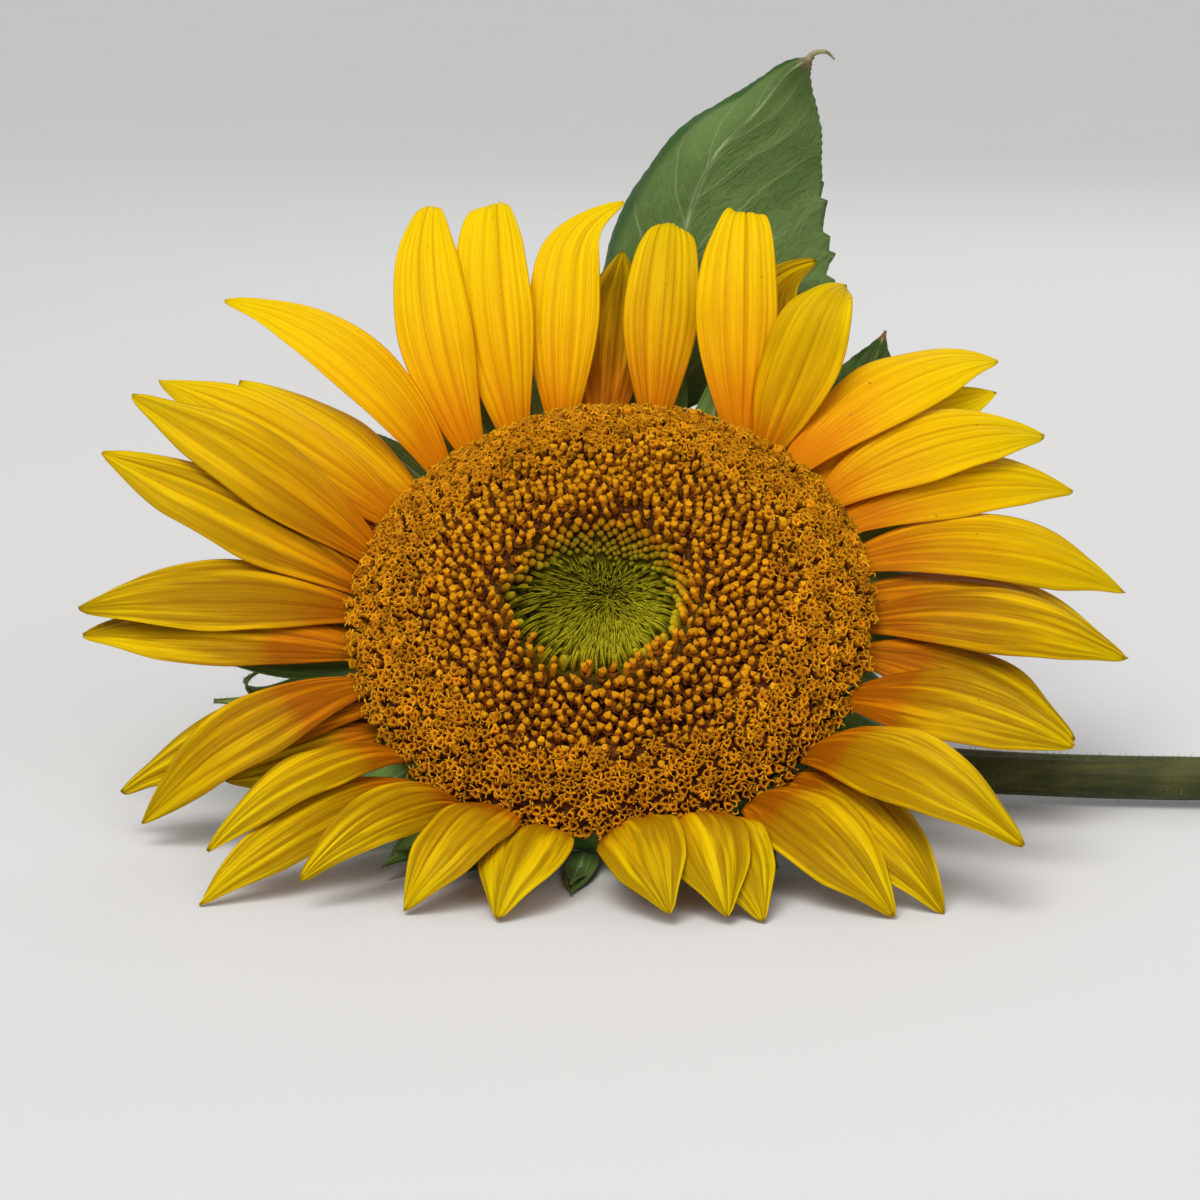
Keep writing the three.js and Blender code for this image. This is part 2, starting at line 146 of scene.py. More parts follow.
# The disc, by radius from its middle: how high the floret tips stand, and how far apart they grow
DISC_TOP = ((0, 8.6), (10, 8.8), (15, 9.6), (19, 11.0), (23, 13.6), (26, 16.6), (29, 19.2), (32, 19.8),
            (37, 18.8), (44, 17.2), (55, 14.8), (65, 11.8), (71, 9.2), (75, 6), (77.5, 2.6))
FLORET_SPACING = ((0, 0.95), (12, 1.3), (19, 1.8), (25, 2.3), (30, 2.95), (36, 3.2), (55, 3.15), (78, 2.95))
DISC_EDGE = 77.0
STRAND_EDGE = 24.0
DOME_EDGE = 28.3
CLUB_EDGE = 55.0
# The hollow and its green strands reach further out on one side of the disc: how far, and towards which angle
HOLLOW_LEAN = (2.9, math.radians(-143))
STRAND_LEAN = (7.0, math.radians(-115))
# The side of the green middle whose threads and domes are painted lighter, as painted light, with painted
# shade on the far side
PAINTED_LIGHT_SIDE = math.radians(-65)
DISH_FLOOR = ((0, 4.3), (33, 4.3), (50, 3.8), (62, 2.8), (72, 1.1), (75.4, 0.2))
GOLDEN_ANGLE = math.pi * (3 - math.sqrt(5))

RECEPTACLE_PROFILE = [
    (0, -47), (9.4, -47), (10, -46), (11.2, -44.2), (14, -42.5), (24, -38.5), (40, -32.5), (56, -25.5),
    (67, -19), (73, -14), (75.6, -9), (75.6, -0.2), (72, 0.8), (62, 2.5), (50, 3.5), (34, 4), (20, 4), (0, 4),
]
NECK_END = -47.3
NECK_RUN = 9
STEM_ROUTE = [(18, 46, 11), (40, 44, 8.8), (80, 32, 8), (140, 21, 7.4), (215, 17, 7), (290, 17, 6.9)]
STEM_NECK_RADIUS = 9.6
STEM_CUT_RADIUS = 6.8

LEAFSTALK_RADIUS = 2.6
LEAFSTALK_HAIR = 0.9
LEAF_STEPS = 300
BRACT_TIP_BROWN = (0.16, 0.12, 0.02)
LEAF_TIP_BROWN = (0.27, 0.19, 0.09)
LEAVES = [
    dict(
        node="leaf_upper", piece="upper_leaf", width=100, stalk_share=0.43, left_fold=1.95, right_fold=0.3,
        facing=(-0.1, -1, 0.1), teeth=18, tooth=3.4, left_pull=0.16, seed=3,
        dry_hook=[((-2.5, 0.5, -1.5), 1.1), ((0.6, 0, 1.2), 0.9), ((4.2, -0.5, 1.5), 0.65),
                  ((6.8, -1, -0.8), 0.25)],
        midrib=[(44, 46.7, 18), (36, 64, 50), (26, 80, 90), (22, 90, 116), (23, 98, 145), (26, 102, 173),
                (34, 101, 192), (47, 97, 206), (57, 91, 219), (64, 84, 224)],
    ),
    dict(
        node="leaf_lower", piece="lower_leaf", width=44, stalk_share=0.5, left_fold=0.6, right_fold=0.6,
        facing=(0, -1, 0.3), teeth=15, tooth=1.6, left_pull=0, seed=8, dry_hook=[],
        midrib=[(74, 36, 16.9), (78, 58, 42), (79, 76, 72), (79, 84, 98), (82, 84, 118), (88, 80, 138)],
    ),
]
FLOOR_GAP = 0.003
LEAF_LEVEL = Vector((-1, 0, 0))
CAMERA_AIM = (-0.0677, -0.01524, 0.06909)
FLOOR_RADIUS = 14
LIGHT_SIZE = 1.2
COOL_WHITE = (0.97, 0.985, 1.0)


def clamp(value, low=0.0, high=1.0):
    return max(low, min(high, value))


def lerp(start, end, share):
    return start + (end - start) * share


def smooth(value, low, high):
    """0 below low, 1 above high and a soft step between them."""
    share = clamp((value - low) / (high - low))
    return share * share * (3 - 2 * share)


def follow(points, place):
    """Height at a place of the line that joins the points."""
    for (x0, y0), (x1, y1) in zip(points, points[1:]):
        if place <= x1:
            return lerp(y0, y1, clamp((place - x0) / (x1 - x0)))
    return points[-1][1]


def turn(axis, degrees):
    return Matrix.Rotation(math.radians(degrees), 4, axis)


def curve_points(knots, count):
    """Evenly spaced points on a smooth curve through the knots, without overshoot where they crowd."""
    knots = [Vector(k) for k in knots]
    knots = [2 * knots[0] - knots[1]] + knots + [2 * knots[-1] - knots[-2]]
    fine = []
    for p0, p1, p2, p3 in zip(knots, knots[1:], knots[2:], knots[3:]):
        t0, t1 = 0.0, math.sqrt((p1 - p0).length)
        t2 = t1 + math.sqrt((p2 - p1).length)
        t3 = t2 + math.sqrt((p3 - p2).length)
        for step in range(24):
            t = lerp(t1, t2, step / 24)
            a = p0.lerp(p1, (t - t0) / (t1 - t0))
            b = p1.lerp(p2, (t - t1) / (t2 - t1))
            c = p2.lerp(p3, (t - t2) / (t3 - t2))
            early, late = a.lerp(b, (t - t0) / (t2 - t0)), b.lerp(c, (t - t1) / (t3 - t1))
            fine.append(early.lerp(late, (t - t1) / (t2 - t1)))
    fine.append(knots[-2])
    lengths = [0.0]
    for before, after in zip(fine, fine[1:]):
        lengths.append(lengths[-1] + (after - before).length)
    found, index = [], 0
    for step in range(count + 1):
        wanted = lengths[-1] * step / count
        while index < len(fine) - 2 and lengths[index + 1] < wanted:
            index += 1
        gap = lengths[index + 1] - lengths[index]
        found.append(fine[index].lerp(fine[index + 1], clamp((wanted - lengths[index]) / gap)))
    return found


def tangents(points):
    """The direction of a row of points at each of them."""
    ends = [points[0]] + points + [points[-1]]
    return [(after - before).normalized() for before, after in zip(ends, ends[2:])]


class Finish:
    """One material: a satin shader and the nodes that make its pattern."""

    def __init__(self, name, roughness, specular, sheen=0.0):
        self.material = bpy.data.materials.new(name)
        self.material.use_nodes = True
        self.tree = self.material.node_tree
        self.shader = self.tree.nodes["Principled BSDF"]
        self.shader.inputs["Roughness"].default_value = roughness
        self.shader.inputs["Specular IOR Level"].default_value = specular
        self.shader.inputs["Sheen Weight"].default_value = sheen

    def node(self, kind, inputs=None, **settings):
        made = self.tree.nodes.new("ShaderNode" + kind)
        for name, value in settings.items():
            setattr(made, name, value)
        for socket, value in (inputs or {}).items():
            if isinstance(value, bpy.types.NodeSocket):
                self.tree.links.new(value, made.inputs[socket])
            else:
                made.inputs[socket].default_value = value
        return made

    def math(self, operation, first, second=0.0, third=0.0):
        inputs = {0: first, 1: second}
        if operation in ("MULTIPLY_ADD", "PINGPONG"):
            inputs[2] = third
        return self.node("Math", inputs, operation=operation).outputs[0]

    def attribute(self, name):
        """A number that the piece's own mesh holds at each point."""
        return self.node("Attribute", attribute_name=name, attribute_type="GEOMETRY").outputs["Fac"]

    def own_map(self):
        """The two numbers of the piece's own UV map: 0 to 1 along it, and 0 to 1 across."""
        parts = self.node("SeparateXYZ", {0: self.node("UVMap", uv_map="UVMap").outputs[0]}).outputs
        self.along, self.across = parts[0], parts[1]
        return self.along, self.across

    def place(self, scale=(1, 1, 1)):
        """Object coordinates in metres, stretched by the scale."""
        point = self.node("TexCoord").outputs["Object"]
        return self.node("Mapping", {"Vector": point, "Scale": scale}).outputs[0]

    def vector(self, x, y, z=0.0):
        return self.node("CombineXYZ", {0: x, 1: y, 2: z}).outputs[0]

    def noise(self, vector, scale, detail=2.0, roughness=0.5):
        inputs = {"Vector": vector, "Scale": scale, "Detail": detail, "Roughness": roughness}
        return self.node("TexNoise", inputs).outputs[0]

    def streaks(self, along, across, shift, scale=1.0, detail=3.0, roughness=0.6):
        """Noise drawn out over the piece's own map; the shift gives each piece a pattern of its own."""
        place = self.vector(self.times(self.along, along), self.times(self.across, across), shift)
        return self.noise(place, scale, detail, roughness)

    def net(self, vector, scale):
        """How far each point is from the lines of a net of cells."""
        settings = {"Vector": vector, "Scale": scale}
        return self.node("TexVoronoi", settings, feature="DISTANCE_TO_EDGE").outputs["Distance"]

    def step(self, value, low, high, out_low=0.0, out_high=1.0):
        """Maps low..high of a value to out_low..out_high with soft ends."""
        inputs = {0: value, 1: low, 2: high, 3: out_low, 4: out_high}
        return self.node("MapRange", inputs, interpolation_type="SMOOTHSTEP").outputs[0]

    def ramp(self, value, *stops):
        made = self.node("ValToRGB", {0: value})
        stones = made.color_ramp.elements
        for index, (position, colour) in enumerate(stops):
            stone = stones[index] if index < 2 else stones.new(position)
            stone.position = position
            stone.color = (*colour, 1)
        return made.outputs[0]

    def mix(self, share, first, second, blend="MIX"):
        inputs = {0: share}
        for socket, value in ((6, first), (7, second)):
            inputs[socket] = value if isinstance(value, bpy.types.NodeSocket) else (*value, 1)
        return self.node("Mix", inputs, data_type="RGBA", blend_type=blend).outputs[2]

    def times(self, first, second):
        return self.math("MULTIPLY", first, second)

    def vary(self, value, size, middle=0.0):
        """Lays a number of 0 to 1 about the middle, by half the size to either side."""
        return self.math("MULTIPLY_ADD", value, size, middle - size / 2)

    def layers(self, colour, *layers):
        """Lays colours over each other, each with the share that shows."""
        for share, over in layers:
            colour = self.mix(share, colour, over)
        return colour

    def shaded(self, colour, value, size):
        """Makes the colour lighter and darker by a number of 0 to 1."""
        shade = self.vary(value, size, 1.0)
        grey = self.node("CombineColor", {0: shade, 1: shade, 2: shade}).outputs[0]
        return self.mix(1.0, colour, grey, "MULTIPLY")

    def bump(self, height, strength, distance):
        """Relief whose depth is given in millimetres."""
        relief = self.node("Bump", {"Height": height, "Strength": strength, "Distance": distance * MM})
        self.tree.links.new(relief.outputs[0], self.shader.inputs["Normal"])

    def colour(self, colour, see_through=0.0):
        """Joins the colour to the shader, with a share of light let through as a thin blade lets it."""
        self.tree.links.new(colour, self.shader.inputs["Base Color"])
        if see_through:
            through = self.node("BsdfTranslucent", {"Color": colour})
            both = self.node("MixShader", {0: see_through, 1: self.shader.outputs[0], 2: through.outputs[0]})
            self.tree.links.new(both.outputs[0], self.tree.nodes["Material Output"].inputs["Surface"])
        return self.material


def petal_finish(settings):
    """Yellow petal skin with an orange foot, lengthwise streaks and grooves, a dry tip and a few specks, and
    painted shade in the grooves and on the lower and hidden petals.
    """
    finish = Finish("ray_petal_satin", 0.5, 0.06)
    along, across = finish.own_map()
    tone, rib, deep = [finish.attribute(name) for name in PETAL_LAYERS]
    shift = finish.times(tone, 23.0)
    streaks = finish.streaks(1.6, 26.0, shift, detail=4.0)
    clouds = finish.streaks(2.5, 1.3, shift, 1.6, 2.0, 0.5)
    painted_shade_swaths = finish.streaks(1.3, 6.5, shift)
    veins = finish.streaks(2.0, 60.0, shift)
    place = finish.math("ADD", along, finish.vary(streaks, 0.34))
    place = finish.math("ADD", place, finish.vary(clouds, 0.24))
    # Petals deep in painted shade take their colour from further down the ramp, more orange
    place = finish.math("SUBTRACT", place, finish.step(deep, 0.9, 1.0, 0.0, 0.22))
    place = finish.math("ADD", place, finish.vary(tone, 0.16))
    colour = finish.ramp(
        place, (0.0, settings.foot_colour), (0.07, settings.foot_colour), (0.26, settings.middle_colour),
        (0.5, settings.blade_colour), (0.9, settings.tip_colour),
    )
    line = finish.times(finish.step(veins, 0.52, 0.72, 0.0, 0.55), finish.step(along, 0.1, 0.95, 1.0, 0.35))
    # Painted shade: the grooves are darkened in their creases; the fine lines are the petal's own veins
    crease_shade = finish.math("POWER", finish.math("SUBTRACT", 1.0, rib), 2.0)
    crease_shade = finish.times(crease_shade, finish.step(streaks, 0.3, 0.7, 0.25, 0.7))
    colour = finish.layers(colour, (line, settings.vein_and_crease_shade_colour), (crease_shade, settings.vein_and_crease_shade_colour))
    # The streaks make the colour lighter and darker, partly the petal's own streaked colour and partly
    # painted highlights and shade along its ridges
    colour = finish.shaded(colour, streaks, 0.5)
    # Painted shade on the lower and hidden petals, in lengthwise swaths of light and shade
    deep = finish.times(deep, finish.step(painted_shade_swaths, 0.34, 0.6, 0.2, 1.35))
    colour = finish.mix(finish.math("MINIMUM", deep, 1.0), colour, settings.painted_shade_tone, "MULTIPLY")
    margin = finish.math("ABSOLUTE", finish.vary(across, 2.0))
    dry = finish.times(finish.step(along, 0.98, 1.0), finish.step(tone, 0.5, 0.9, 0.0, 0.9))
    specks = finish.step(finish.noise(finish.place(), 800.0, 0.0), 0.86, 0.88, 0.0, 0.8)
    colour = finish.layers(colour, (finish.step(margin, 0.94, 1.0, 0.0, 0.15), settings.vein_and_crease_shade_colour),
                           (dry, settings.dry_colour), (specks, settings.dry_colour))
    ridges = finish.math("MULTIPLY_ADD", streaks, 0.8, finish.times(veins, -1.0))
    skin = finish.noise(finish.place(), 1800.0)
    finish.bump(finish.math("MULTIPLY_ADD", skin, 0.2, ridges), 0.6, 0.45)
    return finish.colour(colour, settings.see_through)


def floret_finish(name, young_stops, ripe_stops):
    """Florets coloured from foot to tip: green while young, golden when ripe, each a little different."""
    finish = Finish(name, 0.8, 0.05)
    along, tone, ripe = [finish.attribute(layer) for layer in FLORET_LAYERS]
    grain = finish.noise(finish.place(), 1100.0, 3.0, 0.6)
    place = finish.math("ADD", along, finish.vary(grain, 0.7))
    place = finish.math("ADD", place, finish.vary(tone, 0.18))
    colour = finish.mix(ripe, finish.ramp(place, *young_stops), finish.ramp(place, *ripe_stops))
    # The tone shades each floret at random, and carries the painted light and shade of the green middle
    colour = finish.shaded(colour, tone, 0.6)
    finish.bump(finish.noise(finish.place(), 1150.0, 4.0, 0.65), 1.0, 0.8)
    return finish.colour(colour)


def green_finish(name, pale, dark, stretch, roughness=0.55, depth=0.3):
    """Green skin with lengthwise streaks, for the receptacle, the stem and the hairs."""
    finish = Finish(name, roughness, 0.15, 0.08)
    streaks = finish.noise(finish.place(stretch), 1.0, 4.0, 0.6)
    clouds = finish.noise(finish.place(), 55.0, 3.0)
    grain = finish.noise(finish.place(), 1400.0)
    mix = finish.math("MULTIPLY_ADD", streaks, 0.75, finish.math("MULTIPLY_ADD", clouds, 0.7, -0.28))
    colour = finish.shaded(finish.mix(finish.step(mix, 0.2, 0.75), dark, pale), grain, 0.3)
    finish.bump(finish.math("MULTIPLY_ADD", grain, 0.3, streaks), 0.6, depth)
    return finish.colour(colour)


def hair_finish(name, settings):
    """Pale hairs. A finish that another piece has made already is used again."""
    made = bpy.data.materials.get(name)
    return made or green_finish(name, settings.hair_colour, settings.stem_pale_green_and_shade, (60, 60, 60))


def bract_finish(settings):
    """A bract's skin: lengthwise veins, a pale spine and foot, and a dry tip."""
    finish = Finish("bract_green", 0.55, 0.15, 0.1)
    along, across = finish.own_map()
    veins = finish.streaks(1.5, 16.0, finish.times(finish.attribute("tone"), 17.0))
    grain = finish.noise(finish.place(), 1300.0)
    colour = finish.mix(finish.step(veins, 0.3, 0.7), settings.bract_dark, settings.bract_pale)
    spine = finish.math("ABSOLUTE", finish.math("SUBTRACT", across, 0.5))
    colour = finish.layers(colour, (finish.step(spine, 0.0, 0.06, 0.55, 0.0), settings.hair_colour),
                           (finish.step(along, 0.0, 0.35, 0.4, 0.0), settings.bract_pale),
                           (finish.step(along, 0.9, 1.0, 0.0, 0.5), BRACT_TIP_BROWN))
    finish.bump(finish.math("MULTIPLY_ADD", grain, 0.3, veins), 0.7, 0.35)
    return finish.colour(finish.shaded(colour, grain, 0.3), 0.1)


def leaf_finish(name, settings, blade_colour, roll_shade_start):
    """A leaf's blade: pale veins that run up from the midrib, a fine net between them, puckered skin and
    painted shade on its rolled margin.
    """
    finish = Finish(name, 0.62, 0.15, 0.08)
    along, across = finish.own_map()
    side = finish.vary(across, 2.0)
    margin = finish.math("ABSOLUTE", side)
    reach = finish.math("MULTIPLY_ADD", finish.math("POWER", margin, 0.8), -0.34, along)
    reach = finish.math("MULTIPLY_ADD", finish.noise(finish.place(), 60.0), 0.05, reach)
    half = finish.step(side, -0.01, 0.01, 0.0, 0.45)
    row = finish.math("FRACT", finish.math("MULTIPLY_ADD", reach, 6.5, half))
    apart = finish.math("ABSOLUTE", finish.math("SUBTRACT", row, 0.5))
    lateral = finish.times(finish.step(apart, 0.0, 0.045, 1.0, 0.0), finish.step(margin, 0.35, 1.0, 0.5, 0.1))
    middle = finish.step(margin, 0.0, finish.step(along, 0.0, 1.0, 0.05, 0.018), 1.0, 0.0)
    net_place = finish.vector(finish.times(reach, 2.2), across)
    net, fine_net = finish.net(net_place, 13.0), finish.net(net_place, 42.0)
    clouds = finish.noise(finish.place(), 40.0, 4.0)
    grain = finish.noise(finish.place(), 1500.0, 3.0)
    dry_tip = finish.step(finish.math("MULTIPLY_ADD", clouds, 0.06, along), 0.965, 1.0)
    colour = finish.mix(finish.step(clouds, 0.3, 0.7), settings.leaf_dark, blade_colour)
    veins = (finish.step(net, 0.0, 0.05, 0.13, 0.0), finish.step(fine_net, 0.0, 0.08, 0.08, 0.0), lateral,
             finish.times(middle, 0.8))
    colour = finish.layers(colour, *((share, settings.leaf_vein) for share in veins))
    # Painted shade on the margin that rolls back
    colour = finish.layers(colour, (finish.step(side, roll_shade_start, roll_shade_start + 0.16), settings.leaf_shade_green),
                           (dry_tip, LEAF_TIP_BROWN))
    pucker = finish.math("MULTIPLY_ADD", finish.step(apart, 0.0, 0.2), 0.9, finish.step(net, 0.0, 0.22))
    for relief, depth in ((finish.step(margin, 0.0, 0.12), 1.2), (fine_net, 1.2), (grain, 0.25)):
        pucker = finish.math("MULTIPLY_ADD", relief, depth, pucker)
    finish.bump(pucker, 0.35, 0.5)
    return finish.colour(finish.shaded(colour, grain, 0.34), 0.12)


def floor_finish(settings):
    finish = Finish("pale_floor", 0.75, 0.2)
    clouds = finish.noise(finish.place(), 3.0, 3.0)
    colour = finish.mix(clouds, settings.floor_colour, [0.97 * c for c in settings.floor_colour])
    finish.bump(finish.noise(finish.place(), 900.0), 0.08, 0.2)
    return finish.colour(colour)


def blade(bm, rows, columns, place):
    """Lays a grid over a blade. place gives the point at t along (0 to 1) and v across (-1 to 1)."""
    uv = bm.loops.layers.uv.get("UVMap") or bm.loops.layers.uv.new("UVMap")
    made = bmesh.ops.create_grid(bm, x_segments=rows, y_segments=columns, size=0.5)["verts"]
    spots = [(vert, vert.co.x + 0.5, vert.co.y * 2) for vert in made]
    for vert in made:
        for loop in vert.link_loops:
            loop[uv].uv = (vert.co.x + 0.5, vert.co.y + 0.5)
    for vert, t, v in spots:
        vert.co = place(t, v)
    return spots


def sweep(bm, stations, sides):
    """Extrudes a small disc from station to station; each is a matrix that sets its place, turn and size."""
    start = bmesh.ops.create_circle(bm, cap_ends=True, segments=sides, radius=1, matrix=stations[0])["verts"]
    face = start[0].link_faces[0]
    verts = list(start)
    for before, after in zip(stations, stations[1:]):
        grown = bmesh.ops.extrude_face_region(bm, geom=[face])["geom"]
        ring = [g for g in grown if isinstance(g, bmesh.types.BMVert)]
        face = next(g for g in grown if isinstance(g, bmesh.types.BMFace))
        bmesh.ops.transform(bm, matrix=after @ before.inverted(), verts=ring)
        verts += ring
    faces = list({f for v in verts for f in v.link_faces})
    bmesh.ops.recalc_face_normals(bm, faces=faces)
    return verts


def aimed(point, direction, size=1.0):
    """A matrix that stands its Z along the direction at the point."""
    upright = direction.to_track_quat("Z", "Y").to_matrix().to_4x4()
    return Matrix.Translation(point) @ upright @ Matrix.Scale(size, 4)


def turned(bm, profile, steps):
    """Spins a profile of radius and height, whose ends are on the axis, into a closed body."""
    line = [bm.verts.new((radius, 0, height)) for radius, height in profile]
    edges = [bm.edges.new(pair) for pair in zip(line, line[1:])]
    bmesh.ops.spin(bm, geom=line + edges, cent=(0, 0, 0), axis=(0, 0, 1), angle=2 * math.pi,
                   steps=steps, use_merge=True, use_duplicate=False)
    bmesh.ops.remove_doubles(bm, verts=bm.verts[:], dist=MERGE_GAP)
    bmesh.ops.recalc_face_normals(bm, faces=bm.faces[:])


def add_layers(bm, names=FLORET_LAYERS):
    """The numbers that each point of a piece holds."""
    return [bm.verts.layers.float.new(name) for name in names]


def small_mesh(name, bm, height=None):
    """Keeps a small shape for stamping. With a height, each point holds how far from foot to tip it is."""
    if height:
        add_layers(bm)
        along = bm.verts.layers.float["along"]
        for vert in bm.verts:
            vert[along] = clamp(vert.co.z / height)
    mesh = bpy.data.meshes.new(name)
    bm.to_mesh(mesh)
    bm.free()
    return mesh


def stamp(bm, shape, matrix, tone=0.5, ripe=1.0):
    """Adds a copy of a small shape to a piece, with its own tone and ripeness."""
    shape.attributes["tone"].data.foreach_set("value", [tone] * len(shape.vertices))
    shape.attributes["ripe"].data.foreach_set("value", [ripe] * len(shape.vertices))
    shape.transform(matrix)
    bm.from_mesh(shape)
    shape.transform(matrix.inverted())


def scatter_hairs(bm, spots, length, rng, lean=0.6, shortest=0.5, thickness=0.07):
    """Stamps a fine hair on each spot of a skin, standing off it and leaning at random, in slot 1."""
    made = bmesh.new()
    bmesh.ops.create_cone(made, cap_ends=True, segments=3, radius1=thickness, radius2=thickness * 0.25,
                          depth=1, matrix=Matrix.Translation((0, 0, 0.5)))
    hair = small_mesh("hair", made, 1)
    before = len(bm.faces)
    for point, normal in spots:
        way = (normal + Vector([rng.uniform(-lean, lean) for _ in range(3)])).normalized()
        size = Matrix.Diagonal((1, 1, length * rng.uniform(shortest, 1.3), 1))
        stamp(bm, hair, aimed(point, way) @ size)
    use_slot(bm, before, 1)
    bpy.data.meshes.remove(hair)


def face_spots(faces):
    """The middle of each face and the way it faces."""
    return [(face.calc_center_median(), face.normal.copy()) for face in faces]


def in_order(bm, faces):
    """Faces by the numbers of their points, because spinning and extruding leave them in no fixed order."""
    bm.verts.index_update()
    return sorted(faces, key=lambda face: sorted(vert.index for vert in face.verts))


def use_slot(bm, first, slot):
    """Gives every face from the first on one of the piece's materials, and hands them back."""
    bm.faces.ensure_lookup_table()
    for face in bm.faces[first:]:
        face.material_index = slot
    return bm.faces[first:]


def finish_piece(bm, name, matrix, node, slot, *materials, wall=0.0):
    """Turns a shape in millimetres into a placed piece that rides on the flower and replaces its CAD node."""
    bmesh.ops.transform(bm, matrix=matrix, verts=bm.verts[:])
    mesh = bpy.data.meshes.new(name)
    bm.to_mesh(mesh)
    bm.free()
    mesh.shade_smooth()
    for material in materials:
        mesh.materials.append(material)
    piece = bpy.data.objects.new(name, mesh)
    bpy.context.scene.collection.objects.link(piece)
    if wall:
        solid = piece.modifiers.new("Wall", "SOLIDIFY")
        solid.thickness = wall
        solid.offset = 0
    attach(piece, "root")
    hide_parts(node)


def ray_axes(ray, t):
    """Directions along and across a petal or bract at t, in its own frame: x outwards, z out of the disc."""
    heading = math.radians(ray["heading"] + ray["sway"] * t + ray["hook"] * smooth(t, 0.6, 1))
    lift = math.radians(ray["lift"] - ray["bend"] * t - ray["curl"] * smooth(t, ray["curl_start"], 1))
    along = Vector((math.cos(lift) * math.cos(heading), math.cos(lift) * math.sin(heading), math.sin(lift)))
    return along, Vector((-math.sin(heading), math.cos(heading), 0))


def ray_spine(ray, rows):
    at, points = Vector(), [Vector()]
    for row in range(rows):
        at = at + ray_axes(ray, (row + 0.5) / rows)[0] * (ray["length"] / rows)
        points.append(at)
    return points


def ray_width(t):
    """Width of a ray petal along its length, as a share of its full width."""
    rise = 0.34 + 0.66 * math.sin(clamp(t / 0.48) * math.pi / 2) ** 1.1
    fall = (1 - clamp((t - 0.4) / 0.6) ** 2) ** 0.62 * (1 - 0.32 * smooth(t, 0.7, 1))
    return rise * max(fall, 0.025)


class PetalLook:
    """What one petal has of its own: its ribs, the waves of its two margins and its tone."""

    def __init__(self, seed, settings):
        rng = random.Random(seed)
        depth = settings.groove_depth / MM * rng.uniform(0.75, 1.3)
        middle = rng.uniform(-0.12, 0.12)
        self.grooves = [
            (middle + place + rng.uniform(-0.07, 0.07), depth * share * rng.uniform(0.5, 1.2),
             rng.uniform(0.04, 0.07))
            for place, share in ((-0.24, 1), (0.26, 1), (-0.56, 0.7), (0.58, 0.7), (0.02, 0.5), (-0.4, 0.4),
                                 (0.42, 0.4), (0.78, 0.35), (-0.78, 0.35), (-0.1, 0.3), (0.14, 0.3))]
        self.folds = [(middle + rng.uniform(-0.6, 0.6), rng.uniform(-0.5, 0.5)) for _ in range(3)]
        ruffle = settings.ruffle / MM
        self.waves = [(rng.uniform(1.4, 2.6), rng.uniform(0, 6.3), ruffle * rng.uniform(0.4, 1.2))
                      for _ in range(2)]
        self.phase = rng.uniform(0, 40)
        self.tone = rng.random()

    def sunk(self, v):
        """How far the grooves lower the blade at v across, in millimetres."""
        return sum(depth * math.exp(-((v - place) / width) ** 2) for place, depth, width in self.grooves)

    def relief(self, t, v):
        count, phase, depth = self.waves[v > 0]
        wave = depth * abs(v) ** 2.5 * smooth(t, 0.12, 0.5) * math.sin(2 * math.pi * count * t + phase)
        ribs = (0.25 - self.sunk(v)) * smooth(t, 0, 0.16) * (1 - 0.75 * smooth(t, 0.75, 1))
        swell = 0.7 * noise.noise(Vector((t * 3 + self.phase, v * 1.2, 0))) * smooth(t, 0.05, 0.3)
        folds = sum(depth * math.tanh((v - place) / 0.08) for place, depth in self.folds)
        return wave + ribs + swell + folds * smooth(t, 0.05, 0.35) * (1 - smooth(t, 0.85, 1))


def add_petal(index, ray, settings, material):
    rows, columns = PETAL_GRID
    look = PetalLook(PETAL_SEED + index, settings)
    spine = ray_spine(ray, rows)

    def place(t, v):
        along, side = ray_axes(ray, t)
        up = along.cross(side)
        roll = math.radians(ray["roll"]) * smooth(t, 0, 0.4)
        across = side * math.cos(roll) + up * math.sin(roll)
        outwards = up * math.cos(roll) - side * math.sin(roll)
        half = ray["width"] / 2 * ray_width(t)
        drop = half * (math.cos(v * PETAL_ARCH) - 1) / PETAL_ARCH + look.relief(t, v)
        spread = half * math.sin(v * PETAL_ARCH) / PETAL_ARCH
        slant = along * (ray["slant"] * v * smooth(t, 0.4, 1))
        return spine[round(t * rows)] + across * spread + outwards * drop + slant

    bm = bmesh.new()
    tone, rib, deep = add_layers(bm, PETAL_LAYERS)
    # Painted shade: petals low on the rim are darkened, most towards the foot, and a petal's own shade value
    # is the least it takes
    lower = 1 - smooth(math.sin(math.radians(ray["azimuth"])), -0.1, 0.75)
    for vert, t, v in blade(bm, rows, columns, place):
        vert[tone] = look.tone
        vert[rib] = clamp(1 - look.sunk(v) / 0.6)
        vert[deep] = max(lower * lerp(1, 0.78, smooth(t, 0.15, 0.7)), ray["shade"])
    radius, height = PETAL_SEAT_RADIUS + ray["out"], PETAL_SEAT_HEIGHT - PETAL_ROW_STEP * ray["row"]
    matrix = HEAD @ turn("Z", ray["azimuth"]) @ Matrix.Translation((radius, 0, height))
    number = f"{index + 1:02d}"
    finish_piece(bm, f"petal_{number}", matrix, f"ray_petal_{number}", "ray_petal", material,
                 wall=settings.thickness)


